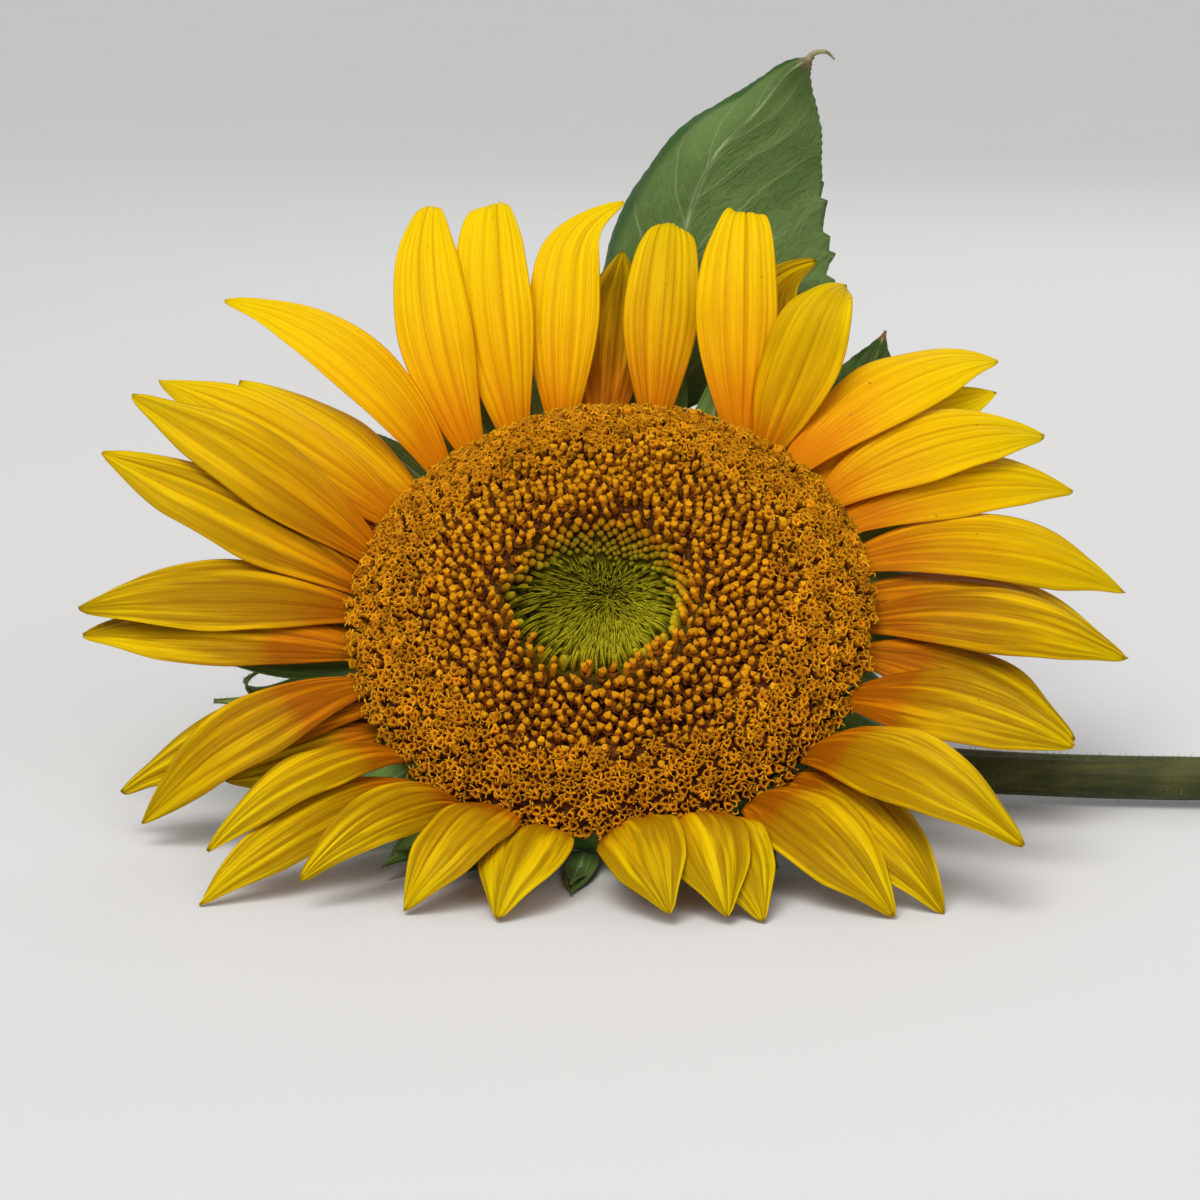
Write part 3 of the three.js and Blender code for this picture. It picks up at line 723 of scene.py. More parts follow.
def spun_floret(rings, rough, seed):
    """A small closed floret. Each ring gives its radius, height, place on the colour ramp from dark foot to
    golden tip, and raggedness; the low places darken the hollows and inner tubes, partly as painted shade.
    """
    rng = random.Random(seed)
    bm = bmesh.new()
    turned(bm, [ring[:2] for ring in rings], FLORET_SIDES)
    along = add_layers(bm)[0]
    bend = Vector((rng.uniform(-rough, rough), rng.uniform(-rough, rough), 0))
    spokes = [(side % 2 + rng.random()) / 2 for side in range(FLORET_SIDES)]
    for vert in bm.verts:
        radius, height = vert.co.xy.length, vert.co.z
        ring = min(rings, key=lambda r: (r[0] - radius) ** 2 + (r[1] - height) ** 2)
        side = round(math.atan2(vert.co.y, vert.co.x) * FLORET_SIDES / (2 * math.pi)) % FLORET_SIDES
        swell = 1 + rng.uniform(-rough, rough) + ring[3] * (spokes[side] - 0.5)
        vert[along] = ring[2]
        vert.co.x, vert.co.y = vert.co.x * swell, vert.co.y * swell
        vert.co.z += rng.uniform(-rough, rough) * 0.7 + ring[3] * spokes[side] * 0.9
        vert.co += bend * (3 * (height / 7) ** 2)
    return bm


def club_shape(seed):
    """A floret whose pollen tube stands up: ragged red-brown lobes and a knobbly golden head between them."""
    wide = random.Random(seed).uniform(0.9, 1.15)
    rings = [(0, 0, 0, 0), (0.95, 0, 0, 0), (1.15, 2.2, 0.14, 0.1), (1.85, 4.3, 0.34, 1.1),
             (0.8, 3.5, 0.04, 0.1), (0.7, 4.5, 0.46, 0), (1.05 * wide, 5.2, 0.74, 0.5),
             (0.76 * wide, 5.7, 0.66, 0.2), (1.0 * wide, 6.3, 0.95, 0.6), (0.62 * wide, 7.0, 1.0, 0.6),
             (0, 6.6, 0.8, 0)]
    return small_mesh("club", spun_floret(rings, 0.24, seed))


def spire_shape(seed):
    """A tall floret of the crest, knobbly and golden for most of its height."""
    rings = [(0, 0, 0, 0), (0.9, 0, 0.1, 0), (1.0, 2.2, 0.35, 0.3), (0.62, 3.4, 0.42, 0.2),
             (1.0, 4.4, 0.72, 0.4), (0.7, 5.2, 0.6, 0.2), (1.05, 6.1, 0.85, 0.45), (0.7, 7.0, 0.7, 0.2),
             (0.98, 7.9, 0.95, 0.5), (0.6, 8.9, 1.0, 0.5), (0, 8.8, 0.9, 0)]
    return small_mesh("spire", spun_floret(rings, 0.26, seed))


def dome_shape(seed):
    """A closed young bud."""
    rings = [(0, 0, 0, 0), (0.95, 0, 0.1, 0), (1.12, 1.8, 0.38, 0), (0.98, 3.0, 0.66, 0.25),
             (0.56, 3.9, 0.88, 0.3), (0, 4.0, 0.95, 0)]
    return small_mesh("dome", spun_floret(rings, 0.16, seed))


def strand_shape(seed):
    """A soft green thread that leans in over the middle of the disc."""
    rng = random.Random(seed)
    bm = bmesh.new()
    lean = rng.uniform(0.85, 1.15)
    path = [(0, 0, 0.42), (-0.25 * lean, 1.6, 0.42), (-0.8 * lean, 3.0, 0.38), (-1.75 * lean, 4.2, 0.3),
            (-2.9 * lean, 5.1, 0.1)]
    points = [Vector((x, rng.uniform(-0.12, 0.12), z)) for x, z, _ in path]
    heads = tangents(points)
    sweep(bm, [aimed(p, d, size) for p, d, (_, _, size) in zip(points, heads, path)], 4)
    return small_mesh("strand", bm, 5.1)


def open_shape(seed):
    """An open floret: a ragged golden wall round a dark hollow, and thin stigma arms that curl over it."""
    rng = random.Random(seed)
    hole = rng.uniform(0.35, 0.75)
    # The hollow and foot take the dark foot colour, partly as painted shade
    rings = [(0, 0, 0, 0), (1.2, 0, 0.08, 0), (1.5, 3.1, 0.46, 0.5), (1.15, 4.1, 0.8, 0.7),
             (hole + 0.15, 3.6, 0.5, 0.4), (hole, 2.2, 0.04, 0), (0, 2.0, 0.02, 0)]
    bm = spun_floret(rings, 0.22, seed)
    along = bm.verts.layers.float["along"]
    way = rng.uniform(0, 360)
    for arm in range(4):
        size = rng.uniform(0.45, 0.95)
        lean = turn("Z", way + 90 * arm + rng.uniform(-30, 30)) @ turn("X", rng.uniform(-50, 50))
        points = [Vector((0.7, 0, 2.8)), Vector((0.75, 0, 3.9))]
        for angle in (70, 140, 215):
            curl = math.radians(angle)
            points.append(Vector((0.75 + size * (1 - math.cos(curl)), 0, 4.0 + size * math.sin(curl))))
        points = [Vector((0, 0, 2.8)) + lean @ (p - Vector((0, 0, 2.8))) for p in points]
        sizes = (0.22, 0.27, 0.28, 0.26, 0.12)
        verts = sweep(bm, [aimed(p, d, r) for p, d, r in zip(points, tangents(points), sizes)], 3)
        for index, vert in enumerate(verts):
            vert[along] = (0.4, 0.7, 0.95, 1.0, 0.9)[index // 3]
    return small_mesh("open_floret", bm)


def floret_places():
    """Radius and angle of each floret, outwards along the spirals; each keeps its own patch of the disc."""
    radius, index, places = 0.7, 0, []
    while radius < DISC_EDGE:
        places.append((radius, index * GOLDEN_ANGLE))
        index += 1
        radius = math.sqrt(radius ** 2 + 0.866 * follow(FLORET_SPACING, radius) ** 2 / math.pi)
    return places


def leaned(lean, angle):
    """How much further out an off-centre edge lies at an angle round the disc."""
    return lean[0] * math.cos(angle - lean[1])


def disc_top(radius, angle):
    """Height of the floret tips; the hollow in the middle reaches further out on one side."""
    shift = leaned(HOLLOW_LEAN, angle) * smooth(radius, 8, 24) * (1 - smooth(radius, 34, 52))
    return follow(DISC_TOP, radius - shift)


def ripeness(radius, angle):
    """0 in the green middle of the disc and 1 where the florets are golden."""
    return smooth(radius - 0.8 * leaned(STRAND_LEAN, angle), 21, 34)


def bed(bm, inner, outer, depth):
    """The floor that the florets stand on, as a closed ring or disc of its own, in the dark foot colour:
    painted shade between the florets.
    """
    own = bmesh.new()
    radii = [lerp(inner, outer, step / 8) for step in range(9)]
    top = [(r, max(follow(DISC_TOP, r) - depth, follow(DISH_FLOOR, r) + 0.8)) for r in radii]
    under = [(r, follow(DISH_FLOOR, r)) for r in reversed(radii)]
    turned(own, top + under + ([top[0]] if inner else []), SPIN_STEPS)
    _, tone, ripe = add_layers(own)
    for vert in own.verts:
        radius, angle = vert.co.xy.length, math.atan2(vert.co.y, vert.co.x)
        vert[tone], vert[ripe] = 0.5, ripeness(radius, angle)
        if vert.co.z > follow(DISH_FLOOR, radius) + 0.4:
            vert.co.z = max(disc_top(radius, angle) - depth, follow(DISH_FLOOR, radius) + 0.8)
    mesh = small_mesh("bed", own)
    bm.from_mesh(mesh)
    bpy.data.meshes.remove(mesh)


# Each kind of floret: the function that shapes it, its first seed, how many are shaped and how tall they are
FLORET_KINDS = {
    "strand": (strand_shape, 0, 4, 5.1), "dome": (dome_shape, 10, 4, 4.1), "club": (club_shape, 20, 6, 7.1),
    "spire": (spire_shape, 50, 4, 8.2), "open": (open_shape, 30, 7, 4.6),
}
# Each zone of the disc: where it starts and ends, how deep its bed lies, its piece, CAD node and slot
DISC_ZONES = {
    "centre": (0, 24.1, 2.3, "centre_florets", "disc_florets_centre", "young_floret"),
    "crest": (24.1, 33.7, 3.9, "crest_florets", "disc_florets_buds", "floret_bud"),
    "inner": (33.7, 54.0, 5.2, "inner_florets", "disc_florets_open", "open_floret"),
    "outer": (54.0, 66.5, 3.4, "outer_florets", "disc_florets_open", "open_floret"),
    "rim": (66.5, 75.5, 3.2, "rim_florets", "disc_florets_open", "open_floret"),
}
BED_GAP = 0.2


def floret_kind(radius, angle, patch, rng):
    """The kind of floret that grows at a place of the disc; the borders between kinds are ragged."""
    hollow, green = leaned(HOLLOW_LEAN, angle), leaned(STRAND_LEAN, angle)
    ragged = radius + 1.6 * patch + rng.uniform(-1.0, 1.0)
    kind = ("strand" if ragged + rng.gauss(0, 1.3) < STRAND_EDGE + green
            else "dome" if ragged < DOME_EDGE + hollow
            else "club" if ragged < CLUB_EDGE + 5 * patch + rng.gauss(0, 3.5) else "open")
    past_domes = radius - DOME_EDGE - hollow
    if kind == "club" and past_domes < 5 and rng.random() < 0.6:
        kind = "spire"
    return kind, past_domes


def floret_stance(kind, radius, lean, past_domes, rng):
    """The size, height and twist of one floret, how it tilts and how deep it sinks."""
    size = rng.uniform(0.92, 1.08)
    length = size
    twist = rng.uniform(0, 360)
    if kind == "strand":
        size *= lerp(0.66, 1.0, clamp(radius / 22))
        length = size * 1.05
        twist = rng.uniform(-16, 16)
        tilt = 0.5 * lean - 6 + rng.gauss(0, 3)
        sink = rng.uniform(-0.4, 0.3)
    elif kind == "dome":
        size *= follow(FLORET_SPACING, min(radius, 26)) / 1.85
        length = lerp(0.9, 1.1, rng.random())
        tilt = 0.7 * lean - 16 + rng.gauss(0, 3)
        sink = rng.uniform(-0.3, 0.3)
    elif kind == "spire":
        sink = rng.uniform(-1.4, 1.2)
        tilt = 0.3 * lean + rng.gauss(0, 9)
    elif kind == "club":
        near = past_domes < 8
        sink = rng.uniform(-0.9, 1.1) * (1.5 if near else 1) + 0.9 * smooth(radius, 42, 60)
        tilt = 0.75 * lean + rng.gauss(0, 7 if near else 4)
    else:
        size *= rng.uniform(0.95, 1.18)
        tilt = 0.75 * lean + rng.gauss(0, 9)
        sink = rng.uniform(-0.8, 0.9)
    return size, length, twist, tilt, sink


def floret_tones(kind, radius, angle, patch, rng):
    """The tone and ripeness of one floret; the green threads and domes get painted light on one side and
    painted shade on the other.
    """
    tone = clamp(rng.gauss(0.5, 0.22))
    if kind in ("strand", "dome"):
        tone = clamp(tone + 0.6 * clamp(radius / 24) * math.cos(angle - PAINTED_LIGHT_SIDE) - 0.1)
    ripe = ripeness(radius + 3 * patch + rng.uniform(-2, 2), angle)
    return tone, ripe * 0.22 if kind == "strand" else ripe if kind == "dome" else 1


def add_florets(finishes):
    rng = random.Random(FLORET_SEED)
    shapes = {kind: [shape(first + number) for number in range(count)]
              for kind, (shape, first, count, _) in FLORET_KINDS.items()}
    zones = {name: bmesh.new() for name in DISC_ZONES}
    for bm in zones.values():
        add_layers(bm)
    for radius, angle in floret_places():
        patch = noise.noise(Vector((radius * math.cos(angle), radius * math.sin(angle), 0)) * 0.09)
        kind, past_domes = floret_kind(radius, angle, patch, rng)
        bm = zones[next((name for name, zone in DISC_ZONES.items() if radius < zone[1]), "rim")]
        slope = (disc_top(radius + 1.5, angle) - disc_top(radius - 1.5, angle)) / 3
        lean = -math.degrees(math.atan(slope))
        size, length, twist, tilt, sink = floret_stance(kind, radius, lean, past_domes, rng)
        foot = disc_top(radius, angle) - FLORET_KINDS[kind][3] * length - sink
        stand = turn("Y", tilt) @ turn("X", rng.gauss(0, 2.5)) @ turn("Z", twist)
        reach = size * (lerp(1, 1.5, smooth(radius, 8, 18)) if kind == "strand" else 1)
        matrix = (turn("Z", math.degrees(angle)) @ Matrix.Translation((radius, 0, foot)) @ stand
                  @ Matrix.Diagonal((reach, size, length, 1)))
        tone, ripe = floret_tones(kind, radius, angle, patch, rng)
        stamp(bm, rng.choice(shapes[kind]), matrix, tone, ripe)
        if kind == "strand" and radius > 9:
            for _ in range(2 if radius > 19 else 1):
                aside = Matrix.Translation((rng.uniform(-1, 1), rng.uniform(-1, 1), 0))
                own_tone = clamp(tone + rng.gauss(0, 0.15))
                stamp(bm, rng.choice(shapes[kind]), aside @ matrix, own_tone, ripe)
    for group in shapes.values():
        for shape in group:
            bpy.data.meshes.remove(shape)
    for zone, (inner, outer, depth, name, node, slot) in DISC_ZONES.items():
        bed(zones[zone], inner, outer - BED_GAP, depth)
        finish_piece(zones[zone], name, HEAD, node, slot, finishes[zone])


def bract_width(t):
    return max((0.74 + 0.5 * t - 1.24 * t * t) * (1 - 0.35 * smooth(t, 0.55, 1)), 0.035)


def room_below(azimuth):
    """The lift that a bract may have at a place round the rim without touching the petals above it."""
    near = [ray for ray in RAY_PETALS if abs((ray["azimuth"] - azimuth + 180) % 360 - 180) < 13]
    return min(ray["lift"] - 0.3 * ray["bend"] for ray in near) - 8


def lay_bract(bm, plan, seed):
    """One bract, and the places and directions of the hairs along its margins, in the head's frame."""
    rows, columns = BRACT_GRID
    rng = random.Random(seed)
    spine = ray_spine(plan, rows)
    wave, phase = rng.uniform(0.5, 1.1), rng.uniform(0, 6)
    own_tone = rng.random()
    seat = turn("Z", plan["azimuth"]) @ Matrix.Translation((plan["radius"], 0, plan["height"]))

    def place(t, v):
        along, side = ray_axes(plan, t)
        half = plan["width"] / 2 * bract_width(t)
        relief = wave * abs(v) ** 2 * math.sin(9 * t + phase + v) * smooth(t, 0.1, 0.5)
        relief += 0.35 * (1 - min(abs(v) * 5, 1)) * (1 - t)
        lie = along.cross(side) * (relief - 0.25 * half * v * v)
        return seat @ (spine[round(t * rows)] + side * (half * v) + lie)

    tone, along_layer = bm.verts.layers.float["tone"], bm.verts.layers.float["along"]
    spots = blade(bm, rows, columns, place)
    hairs = []
    for vert, t, v in spots:
        vert[tone] = own_tone
        vert[along_layer] = t
        if abs(v) > 0.99 and t > 0.06 and (HEAD @ vert.co).z > 2 * FLOOR_GAP:
            hairs.append((vert.co.copy(), (vert.co - place(t, v * 0.8)).normalized()))
    return hairs


def keep_off_floor(bm):
    """Bends whatever comes within 3 mm of the floor up off it, in the head's frame."""
    back = HEAD.inverted()
    for vert in bm.verts:
        point = HEAD @ vert.co
        if point.z < FLOOR_GAP:
            point.z = FLOOR_GAP * math.exp(point.z / FLOOR_GAP - 1)
            vert.co = back @ point


def add_bract(index, main, settings, materials):
    """A bract with its companions, which stand beside and above it."""
    rng = random.Random(BRACT_SEED + index)
    plans = [main]
    for step, share, radius, height, above in COMPANIONS:
        azimuth = main["azimuth"] + step + rng.uniform(-2, 2) + (main["shift"] if above else 0)
        plans.append(dict(
            main, azimuth=azimuth, length=main["length"] * share, radius=radius, height=height,
            lift=min(room_below(azimuth), 34) if above else main["lift"] - 7,
            width=main["width"] * rng.uniform(0.8, 0.95) * (1.2 if above else 1),
            bend=main["bend"] + rng.uniform(-12, 8), curl=0))
    bm = bmesh.new()
    add_layers(bm)
    hairs = []
    for number, plan in enumerate(plans):
        hairs += lay_bract(bm, plan, BRACT_BLADE_SEED + 10 * index + number)
    bmesh.ops.solidify(bm, geom=bm.faces[:], thickness=GREEN_THICKNESS)
    keep_off_floor(bm)
    scatter_hairs(bm, hairs, settings.hair_length / MM, rng, 0.5, 0.6)
    number = f"{index + 1:02d}"
    finish_piece(bm, f"calyx_{number}", HEAD, f"bract_{number}", "bract", *materials)


def add_receptacle(settings, materials):
    rng = random.Random(RECEPTACLE_SEED)
    bm = bmesh.new()
    turned(bm, RECEPTACLE_PROFILE, SPIN_STEPS)
    for vert in bm.verts:
        if vert.co.z < -8:
            angle = math.atan2(vert.co.y, vert.co.x)
            fade = smooth(vert.co.xy.length, 9, 30)
            vert.co.z += fade * (0.5 * math.sin(21 * angle) + 0.8 * noise.noise(vert.co * 0.12))
    add_layers(bm)
    bm.normal_update()
    spots = [(middle, normal) for middle, normal in face_spots(in_order(bm, bm.faces))
             if normal.z < 0.1 and -46 < middle.z < -8 and rng.random() < 0.75]
    scatter_hairs(bm, spots, settings.hair_length / MM, rng)
    finish_piece(bm, "seed_head_back", HEAD, "receptacle", "bract", *materials)


def add_stem(settings, materials):
    """The ribbed stem, from the neck to its cut end with a rim and a sunken pith."""
    rows, columns = STEM_GRID
    rng = random.Random(STEM_SEED)
    neck = [HEAD_TURN @ Vector((0, 0, NECK_END)), HEAD_TURN @ Vector((0, 0, NECK_END - NECK_RUN))]
    points = curve_points(neck + [Vector(p) for p in STEM_ROUTE], rows)
    ways = tangents(points)
    side = ways[0].cross(Vector((0, 0, 1))).normalized()
    sides = []
    for way in ways:
        side = (side - way * side.dot(way)).normalized()
        sides.append(side)

    def place(t, v):
        row = round(t * rows)
        angle = math.pi * v
        radius = lerp(STEM_NECK_RADIUS, STEM_CUT_RADIUS, smooth(t, 0, 0.45))
        radius *= 0.965 + 0.032 * math.cos(11 * angle) * smooth(t, 0.01, 0.1)
        radius += 0.25 * noise.noise(Vector((t * 14, math.cos(angle), math.sin(angle))))
        up = sides[row].cross(ways[row])
        return points[row] + (sides[row] * math.cos(angle) + up * math.sin(angle)) * radius

    bm = bmesh.new()
    blade(bm, rows, columns, place)
    add_layers(bm)
    bmesh.ops.remove_doubles(bm, verts=bm.verts[:], dist=MERGE_GAP)
    caps = bmesh.ops.holes_fill(bm, edges=[e for e in bm.edges if e.is_boundary])["faces"]
    bmesh.ops.recalc_face_normals(bm, faces=bm.faces[:])
    cut = max(caps, key=lambda face: face.calc_center_median().x)
    rim = bmesh.ops.inset_region(bm, faces=[cut], thickness=1.0)["faces"]
    bmesh.ops.translate(bm, vec=(-0.5, 0, 0), verts=cut.verts[:])
    pith = bmesh.ops.inset_region(bm, faces=[cut], thickness=0.8)["faces"]
    for face in [cut, *pith]:
        face.material_index = 2
    bm.normal_update()
    skin = [f for f in bm.faces if f not in caps and f not in rim and f not in pith]
    spots = face_spots(rng.sample(skin, settings.stem_hairs))
    scatter_hairs(bm, spots, settings.hair_length / MM, rng, 0.5)
    finish_piece(bm, "flower_stem", FLOWER, "stem", "stem", *materials)


def add_leaf(leaf, materials):
    """A leaf's toothed blade, the stalk that runs on as its midrib, and a dry hook at the tip."""
    rows, columns = LEAF_GRID
    rng = random.Random(leaf["seed"])
    midrib = curve_points(leaf["midrib"], LEAF_STEPS)
    ways = tangents(midrib)
    facing = Vector(leaf["facing"])
    start = leaf["stalk_share"]

    def axes(share):
        step = round(share * LEAF_STEPS)
        side = facing.cross(ways[step]).normalized()
        return midrib[step], side, ways[step].cross(side)

    def place(t, v):
        share = lerp(start, 1, t)
        centre, side, up = axes(share)
        opening = smooth(t, 0, 0.12)
        taper = 1 - 0.25 * smooth(t, 0.7, 1)
        outline = taper * math.sin(math.pi * clamp(t, 0.001, 0.999) ** 0.62)
        half = max(lerp(LEAFSTALK_RADIUS * 0.7, leaf["width"] / 2 * outline, opening), 0.5)
        spread = side if v >= 0 else side.lerp(LEAF_LEVEL, 0.85).normalized()
        fold = max(leaf["left_fold" if v > 0 else "right_fold"] * opening, 0.01)
        angle = fold * abs(v)
        count = t * leaf["teeth"] + 0.5 * math.sin(9 * t) + 0.25 * math.sin(31 * t)
        deep = leaf["tooth"] * (0.75 + 0.35 * math.sin(2.4 * math.floor(count)))
        tooth = deep * ((count % 1) ** 1.6 - 0.7) * abs(v) ** 9 * smooth(t, 0.06, 0.2)
        tooth *= 1 - smooth(t, 0.5, 0.64)
        if v > 0:
            tooth *= 0.25
            half *= 1 - leaf["left_pull"] * math.sin(math.pi * clamp((t - 0.4) / 0.6))
            half *= 1 + 0.8 * leaf["left_pull"] * (1 - smooth(t, 0.3, 0.6)) * smooth(t, 0.05, 0.2)
        reach = half * math.sin(angle) / fold + tooth
        drop = half * (math.cos(angle) - 1) / fold
        quilt = 0.3 * math.sin(2 * math.pi * (6.5 * (t - 0.34 * abs(v) ** 0.8))) * smooth(abs(v), 0.05, 0.3)
        sway = 1.6 * abs(v) ** 2 * noise.noise(Vector((t * 5, v * 1.5, leaf["seed"])))
        lie = (quilt + sway) * smooth(t, 0.05, 0.25) * (1 - smooth(t, 0.85, 1))
        way = math.copysign(1, v)
        return (centre + spread * (way * (reach + math.sin(angle) * lie))
                + up * (drop + math.cos(angle) * lie))

    bm = bmesh.new()
    blade(bm, rows, columns, place)
    bmesh.ops.solidify(bm, geom=bm.faces[:], thickness=GREEN_THICKNESS)
    add_layers(bm)
    before = len(bm.faces)
    stations = []
    for step in range(0, LEAF_STEPS - 5, 6):
        share = step / LEAF_STEPS
        thin = smooth(share, start - 0.03, 0.75)
        size = lerp(LEAFSTALK_RADIUS * 0.96, 0.45, thin)
        centre, _, up = axes(share)
        sunk = size * 0.55 * smooth(share, start - 0.1, start)
        stations.append(aimed(centre - up * sunk, ways[step], size))
    sweep(bm, stations, 10)
    stalk = use_slot(bm, before, 2)
    spots = [spot for spot in face_spots(in_order(bm, stalk)) if rng.random() < 0.45]
    scatter_hairs(bm, spots, LEAFSTALK_HAIR, rng, thickness=0.05)
    if leaf["dry_hook"]:
        before = len(bm.faces)
        points = curve_points([midrib[-1] + Vector(offset) for offset, _ in leaf["dry_hook"]], 12)
        widths = [(k, size) for k, (_, size) in enumerate(leaf["dry_hook"])]
        sizes = [follow(widths, k / 4) for k in range(13)]
        sweep(bm, [aimed(p, d, size) for p, d, size in zip(points, tangents(points), sizes)], 7)
        use_slot(bm, before, 3)
    finish_piece(bm, leaf["piece"], FLOWER, leaf["node"], "leaf", *materials)


def colour(name, description, default):
    return FloatVectorProperty(name=name, description=description, default=default, subtype="COLOR")


def amount(name, description, default, least=0.0, **kind):
    return FloatProperty(name=name, description=description, default=default, min=least, **kind)


class SunflowerPetalSettings(bpy.types.PropertyGroup):
    """Sizes and colours of the ray petals"""

    thickness: amount("Thickness", "Thickness of a petal", 0.00042, 0.0001, unit="LENGTH")
    groove_depth: amount("Groove depth", "Depth of the lengthwise grooves", 0.0007, unit="LENGTH")
    ruffle: amount("Ruffle", "Height of the waves along the margins", 0.0010, unit="LENGTH")
    see_through: amount("See-through", "Share of light that passes a petal", 0.24, max=1, subtype="FACTOR")
    foot_colour: colour("Foot", "Orange at the foot", (0.86, 0.275, 0.001))
    middle_colour: colour("Middle", "Warm yellow of the lower half", (0.93, 0.475, 0.0005))
    blade_colour: colour("Blade", "Yellow of the outer half", (0.96, 0.60, 0.0))
    tip_colour: colour("Tip", "Bright yellow towards the tip", (0.97, 0.71, 0.0))
    # Painted shade: the colour that the lower and hidden petals are multiplied by
    painted_shade_tone: colour("Deep tone", "Shade that the lower petals are multiplied by", (0.50, 0.42, 0.30))
    # Painted shade in the grooves, and the colour of the veins and margins
    vein_and_crease_shade_colour: colour("Grooves", "Brownish orange in the grooves and on the margins", (0.56, 0.20, 0.001))
    dry_colour: colour("Dry tips", "Brown of the dry tips and specks", (0.30, 0.15, 0.015))


class SunflowerDiscSettings(bpy.types.PropertyGroup):
    """Colours of the disc florets"""

    # The florets' own purple-brown feet, and painted shade in the gaps between them
    dark_base_and_gap_shade_colour: colour("Gaps", "Purple-black between the florets", (0.045, 0.012, 0.005))
    stalk_colour: colour("Stalks", "Red-brown of the lower florets", (0.36, 0.10, 0.01))
    gold_colour: colour("Gold", "Orange gold of the floret heads", (0.62, 0.215, 0.004))
    pollen_colour: colour("Pollen", "Yellow of the pollen on the tips", (0.74, 0.32, 0.006))
    curl_colour: colour("Curls", "Golden yellow of the curled stigmas", (0.82, 0.39, 0.008))
    young_colour: colour("Young green", "Olive green of the centre", (0.27, 0.235, 0.006))
    young_tip_colour: colour("Young tips", "Yellow-green tips of the centre", (0.39, 0.345, 0.011))


class SunflowerGreenSettings(bpy.types.PropertyGroup):
    """Sizes and colours of the green pieces"""

    hair_length: amount("Hair length", "Length of hairs on stem and bracts", 0.0014, 0.0002, unit="LENGTH")
    stem_hairs: IntProperty(
        name="Stem hairs", description="Number of hairs on the stem", default=1400, min=1, max=4000)
    bract_pale: colour("Bract, pale", "Pale green of the bracts", (0.20, 0.31, 0.065))
    bract_dark: colour("Bract, dark", "Dark green of the bracts", (0.07, 0.155, 0.025))
    # The stem's greens are darkened in part as painted shade
    stem_pale_green_and_shade: colour("Stem, pale", "Pale green of the stem", (0.09, 0.095, 0.022))
    stem_dark_green_and_shade: colour("Stem, dark", "Dull green of the stem", (0.03, 0.034, 0.009))
    hair_colour: colour("Hairs", "Pale colour of the hairs", (0.52, 0.58, 0.34))
    leaf_pale: colour("Leaf, pale", "Greyish green of the leaf", (0.13, 0.205, 0.053))
    leaf_dark: colour("Leaf, dark", "Darker green of the leaf", (0.08, 0.145, 0.03))
    # Painted shade: the deep green of the rolled margin and of the whole lower leaf
    leaf_shade_green: colour("Leaf roll", "Deep green of the rolled margin", (0.035, 0.10, 0.012))
    leaf_vein: colour("Leaf veins", "Pale green of the veins", (0.27, 0.35, 0.15))


class SunflowerStageSettings(bpy.types.PropertyGroup):
    """Floor, lights and camera"""

    floor_colour: colour("Floor", "Pale floor", (0.72, 0.71, 0.69))
    even_strength: amount("Even light", "Strength of the wide light from above and in front", 1.9)
    main_power: amount("Main light", "Power of the large light above", 9, unit="POWER")
    front_power: amount("Front light", "Power of the soft light in front", 8, unit="POWER")
    back_power: amount("Back light", "Power of the soft light behind", 5, unit="POWER")
    sky_strength: amount("Room light", "Strength of the even light from all round", 0.36, subtype="FACTOR")
    camera_height: FloatProperty(
        name="Camera angle", description="Angle of the camera above the floor", default=math.radians(12),
        subtype="ANGLE", unit="ROTATION")
    camera_distance: amount("Camera distance", "Distance from the camera to its aim", 1.0, 0.1, unit="LENGTH")
    camera_lens: amount("Lens", "Focal length in millimetres on a 36 mm wide sensor", 100, 10, unit="CAMERA")


class SUNFLOWER_OT_petals(bpy.types.Operator):
    """Builds the ray petals round the rim"""

    bl_idname = "sunflower.petals"
    bl_label = "Ray Petals"

    def execute(self, context):
        settings = context.scene.sunflower_petals
        material = petal_finish(settings)
        for index, ray in enumerate(RAY_PETALS):
            add_petal(index, ray, settings, material)
        return {"FINISHED"}


class SUNFLOWER_OT_florets(bpy.types.Operator):
    """Fills the disc with florets in spirals"""

    bl_idname = "sunflower.florets"
    bl_label = "Disc Florets"

    def execute(self, context):
        settings = context.scene.sunflower_disc
        gap, stalk, gold = settings.dark_base_and_gap_shade_colour, settings.stalk_colour, settings.gold_colour
        young, tip = settings.young_colour, settings.young_tip_colour

        def toned(colour, share):
            return [share * c for c in colour]

        # Each ramp runs from a floret's foot to its tip; its dark foot stands partly for the florets' own
        # purple-brown bases and partly for painted shade deep between them
        young_stops = [(0.0, toned(young, 0.38)), (0.3, toned(young, 0.55)), (0.75, young), (1.0, tip)]
        ripe_stops = [(0.0, gap), (0.24, stalk), (0.42, toned(gold, 0.55)), (0.66, gold),
                      (1.0, settings.pollen_colour)]
        curled_stops = [(0.0, toned(gap, 2)), (0.2, stalk), (0.38, toned(gold, 0.55)), (0.65, gold),
                        (1.0, settings.curl_colour)]
        dim_stops = [(0.0, toned(gap, 2)), (0.3, toned(stalk, 0.9)), (0.55, toned(gold, 0.8)), (0.85, gold),
                     (1.0, toned(gold, 1.2))]
        finishes = {zone: floret_finish(name, young_stops, stops) for zone, name, stops in (
            ("centre", "young_florets", dim_stops), ("crest", "budding_florets", ripe_stops),
            ("inner", "upright_florets", ripe_stops), ("outer", "curled_florets", curled_stops))}
        add_florets(dict(finishes, rim=finishes["outer"]))
        return {"FINISHED"}


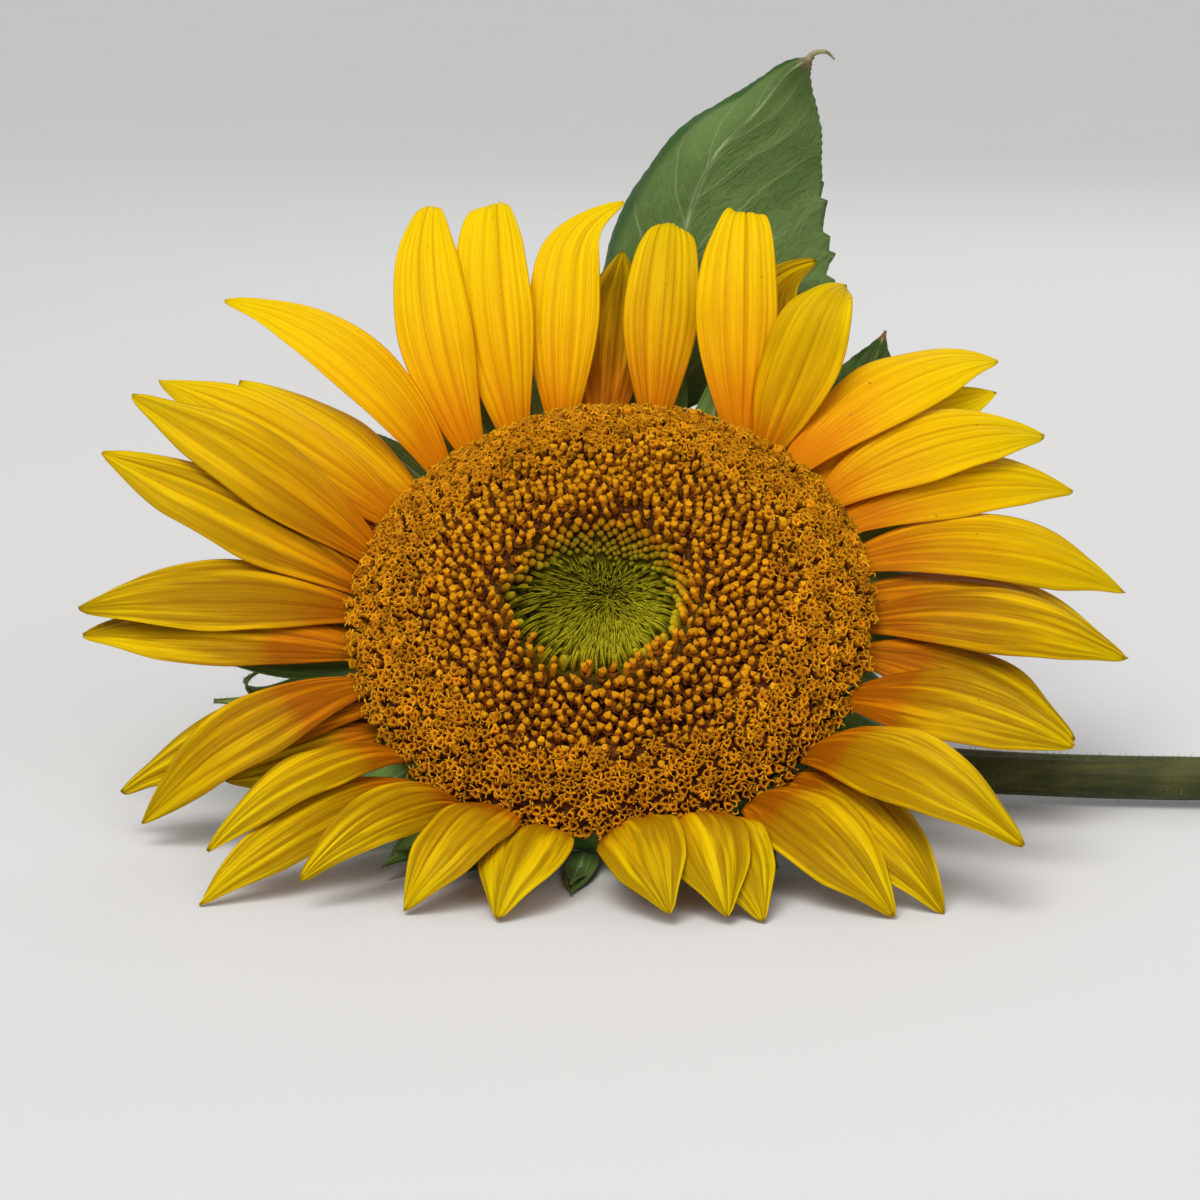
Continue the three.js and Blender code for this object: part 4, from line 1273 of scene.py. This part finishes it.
class SUNFLOWER_OT_bracts(bpy.types.Operator):
    """Builds the bracts behind the petals"""

    bl_idname = "sunflower.bracts"
    bl_label = "Bracts"

    def execute(self, context):
        settings = context.scene.sunflower_green
        materials = bract_finish(settings), hair_finish("pale_hairs", settings)
        for index, main in enumerate(BRACTS):
            add_bract(index, main, settings, materials)
        return {"FINISHED"}


class SUNFLOWER_OT_receptacle(bpy.types.Operator):
    """Builds the back of the head"""

    bl_idname = "sunflower.receptacle"
    bl_label = "Receptacle"

    def execute(self, context):
        settings = context.scene.sunflower_green
        skin = green_finish("receptacle_green", settings.bract_pale, settings.bract_dark, (120, 120, 40))
        add_receptacle(settings, (skin, hair_finish("pale_hairs", settings)))
        return {"FINISHED"}


class SUNFLOWER_OT_stem(bpy.types.Operator):
    """Builds the ribbed, hairy stem with its cut end"""

    bl_idname = "sunflower.stem"
    bl_label = "Stem"

    def execute(self, context):
        settings = context.scene.sunflower_green
        # The stem's greens carry painted shade
        add_stem(settings, (
            green_finish("stem_green", settings.stem_pale_green_and_shade, settings.stem_dark_green_and_shade, (14, 420, 420), 0.6, 0.4),
            hair_finish("stem_hairs", settings),
            green_finish("stem_pith", (0.62, 0.60, 0.40), (0.40, 0.42, 0.22), (300, 300, 300), 0.8, 0.6),
        ))
        return {"FINISHED"}


class SUNFLOWER_OT_leaves(bpy.types.Operator):
    """Builds the two leaves on their stalks"""

    bl_idname = "sunflower.leaves"
    bl_label = "Leaves"

    def execute(self, context):
        settings = context.scene.sunflower_green
        others = (
            hair_finish("leaf_hairs", settings),
            green_finish("leafstalk_green", settings.leaf_vein, settings.leaf_dark, (300, 300, 30)),
            green_finish("dry_leaf_tip", (0.36, 0.33, 0.17), (0.16, 0.13, 0.06), (300, 300, 300), 0.8),
        )
        blades = (
            leaf_finish("upper_leaf_blade", settings, settings.leaf_pale, 0.42),
            # The lower leaf's blade is painted in the shade green
            leaf_finish("lower_leaf_blade", settings, settings.leaf_shade_green, 0.9),
        )
        for leaf, own in zip(LEAVES, blades):
            add_leaf(leaf, (own, *others))
        return {"FINISHED"}


def put(name, data):
    """Puts a light, the camera or a mesh in the scene."""
    thing = bpy.data.objects.new(name, data)
    bpy.context.scene.collection.objects.link(thing)
    return thing


def add_light(name, place, power, colour):
    lamp = bpy.data.lights.new(name, "AREA")
    lamp.shape = "DISK"
    lamp.size = LIGHT_SIZE
    lamp.energy = power
    lamp.color = colour
    holder = put(name, lamp)
    holder.location = place
    holder.rotation_euler = (-Vector(place)).to_track_quat("-Z", "Y").to_euler()


class SUNFLOWER_OT_stage(bpy.types.Operator):
    """Sets the pale floor, the soft lights and the camera"""

    bl_idname = "sunflower.stage"
    bl_label = "Stage"

    def execute(self, context):
        settings = context.scene.sunflower_stage
        bm = bmesh.new()
        bmesh.ops.create_circle(bm, cap_ends=True, segments=96, radius=FLOOR_RADIUS)
        mesh = bpy.data.meshes.new("floor")
        bm.to_mesh(mesh)
        bm.free()
        mesh.materials.append(floor_finish(settings))
        floor = put("floor", mesh)

        add_light("main_light", (-0.5, -0.9, 1.9), settings.main_power, (1.0, 0.975, 0.94))
        add_light("front_light", (0.85, -1.75, 1.25), settings.front_power, COOL_WHITE)
        add_light("back_light", (0.5, 1.6, 1.3), settings.back_power, COOL_WHITE)
        sun = bpy.data.lights.new("even_light", "SUN")
        sun.angle = math.radians(40)
        sun.energy = settings.even_strength
        put("even_light", sun).rotation_euler = (math.radians(38), math.radians(-16), 0)
        world = bpy.data.worlds.new("soft_room")
        world.use_nodes = True
        background = world.node_tree.nodes["Background"]
        background.inputs["Color"].default_value = (0.93, 0.95, 1.0, 1)
        background.inputs["Strength"].default_value = settings.sky_strength
        context.scene.world = world
        context.scene.view_settings.view_transform = "Standard"

        data = bpy.data.cameras.new("camera")
        data.lens = settings.camera_lens
        data.sensor_width = 36
        camera = put("camera", data)
        angle = settings.camera_height
        away = settings.camera_distance * Vector((0, -math.cos(angle), math.sin(angle)))
        camera.location = Vector(CAMERA_AIM) + away
        camera.rotation_euler = (math.pi / 2 - angle, 0, 0)
        context.scene.camera = camera
        return {"FINISHED"}


class SUNFLOWER_PT_panel(bpy.types.Panel):
    """Lists the steps that build the sunflower"""

    bl_idname = "SUNFLOWER_PT_panel"
    bl_label = "Mammoth Sunflower"
    bl_space_type = "VIEW_3D"
    bl_region_type = "UI"
    bl_category = "Sunflower"

    def draw(self, context):
        for step in STEPS:
            self.layout.operator(step.bl_idname)
        for name in GROUPS:
            group = getattr(context.scene, name)
            box = self.layout.box()
            for key in group.__annotations__:
                box.prop(group, key)


GROUPS = {
    "sunflower_petals": SunflowerPetalSettings,
    "sunflower_disc": SunflowerDiscSettings,
    "sunflower_green": SunflowerGreenSettings,
    "sunflower_stage": SunflowerStageSettings,
}
STEPS = (
    SUNFLOWER_OT_petals, SUNFLOWER_OT_florets, SUNFLOWER_OT_bracts, SUNFLOWER_OT_receptacle,
    SUNFLOWER_OT_stem, SUNFLOWER_OT_leaves, SUNFLOWER_OT_stage,
)


def register():
    for kind in (*GROUPS.values(), *STEPS, SUNFLOWER_PT_panel):
        bpy.utils.register_class(kind)
    for name, kind in GROUPS.items():
        setattr(bpy.types.Scene, name, PointerProperty(type=kind))


def unregister():
    for name in GROUPS:
        delattr(bpy.types.Scene, name)
    for kind in reversed((*GROUPS.values(), *STEPS, SUNFLOWER_PT_panel)):
        bpy.utils.unregister_class(kind)


def main():
    register()
    for step in STEPS:
        group, name = step.bl_idname.split(".")
        getattr(getattr(bpy.ops, group), name)()
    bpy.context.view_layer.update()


if __name__ == "__main__":
    main()
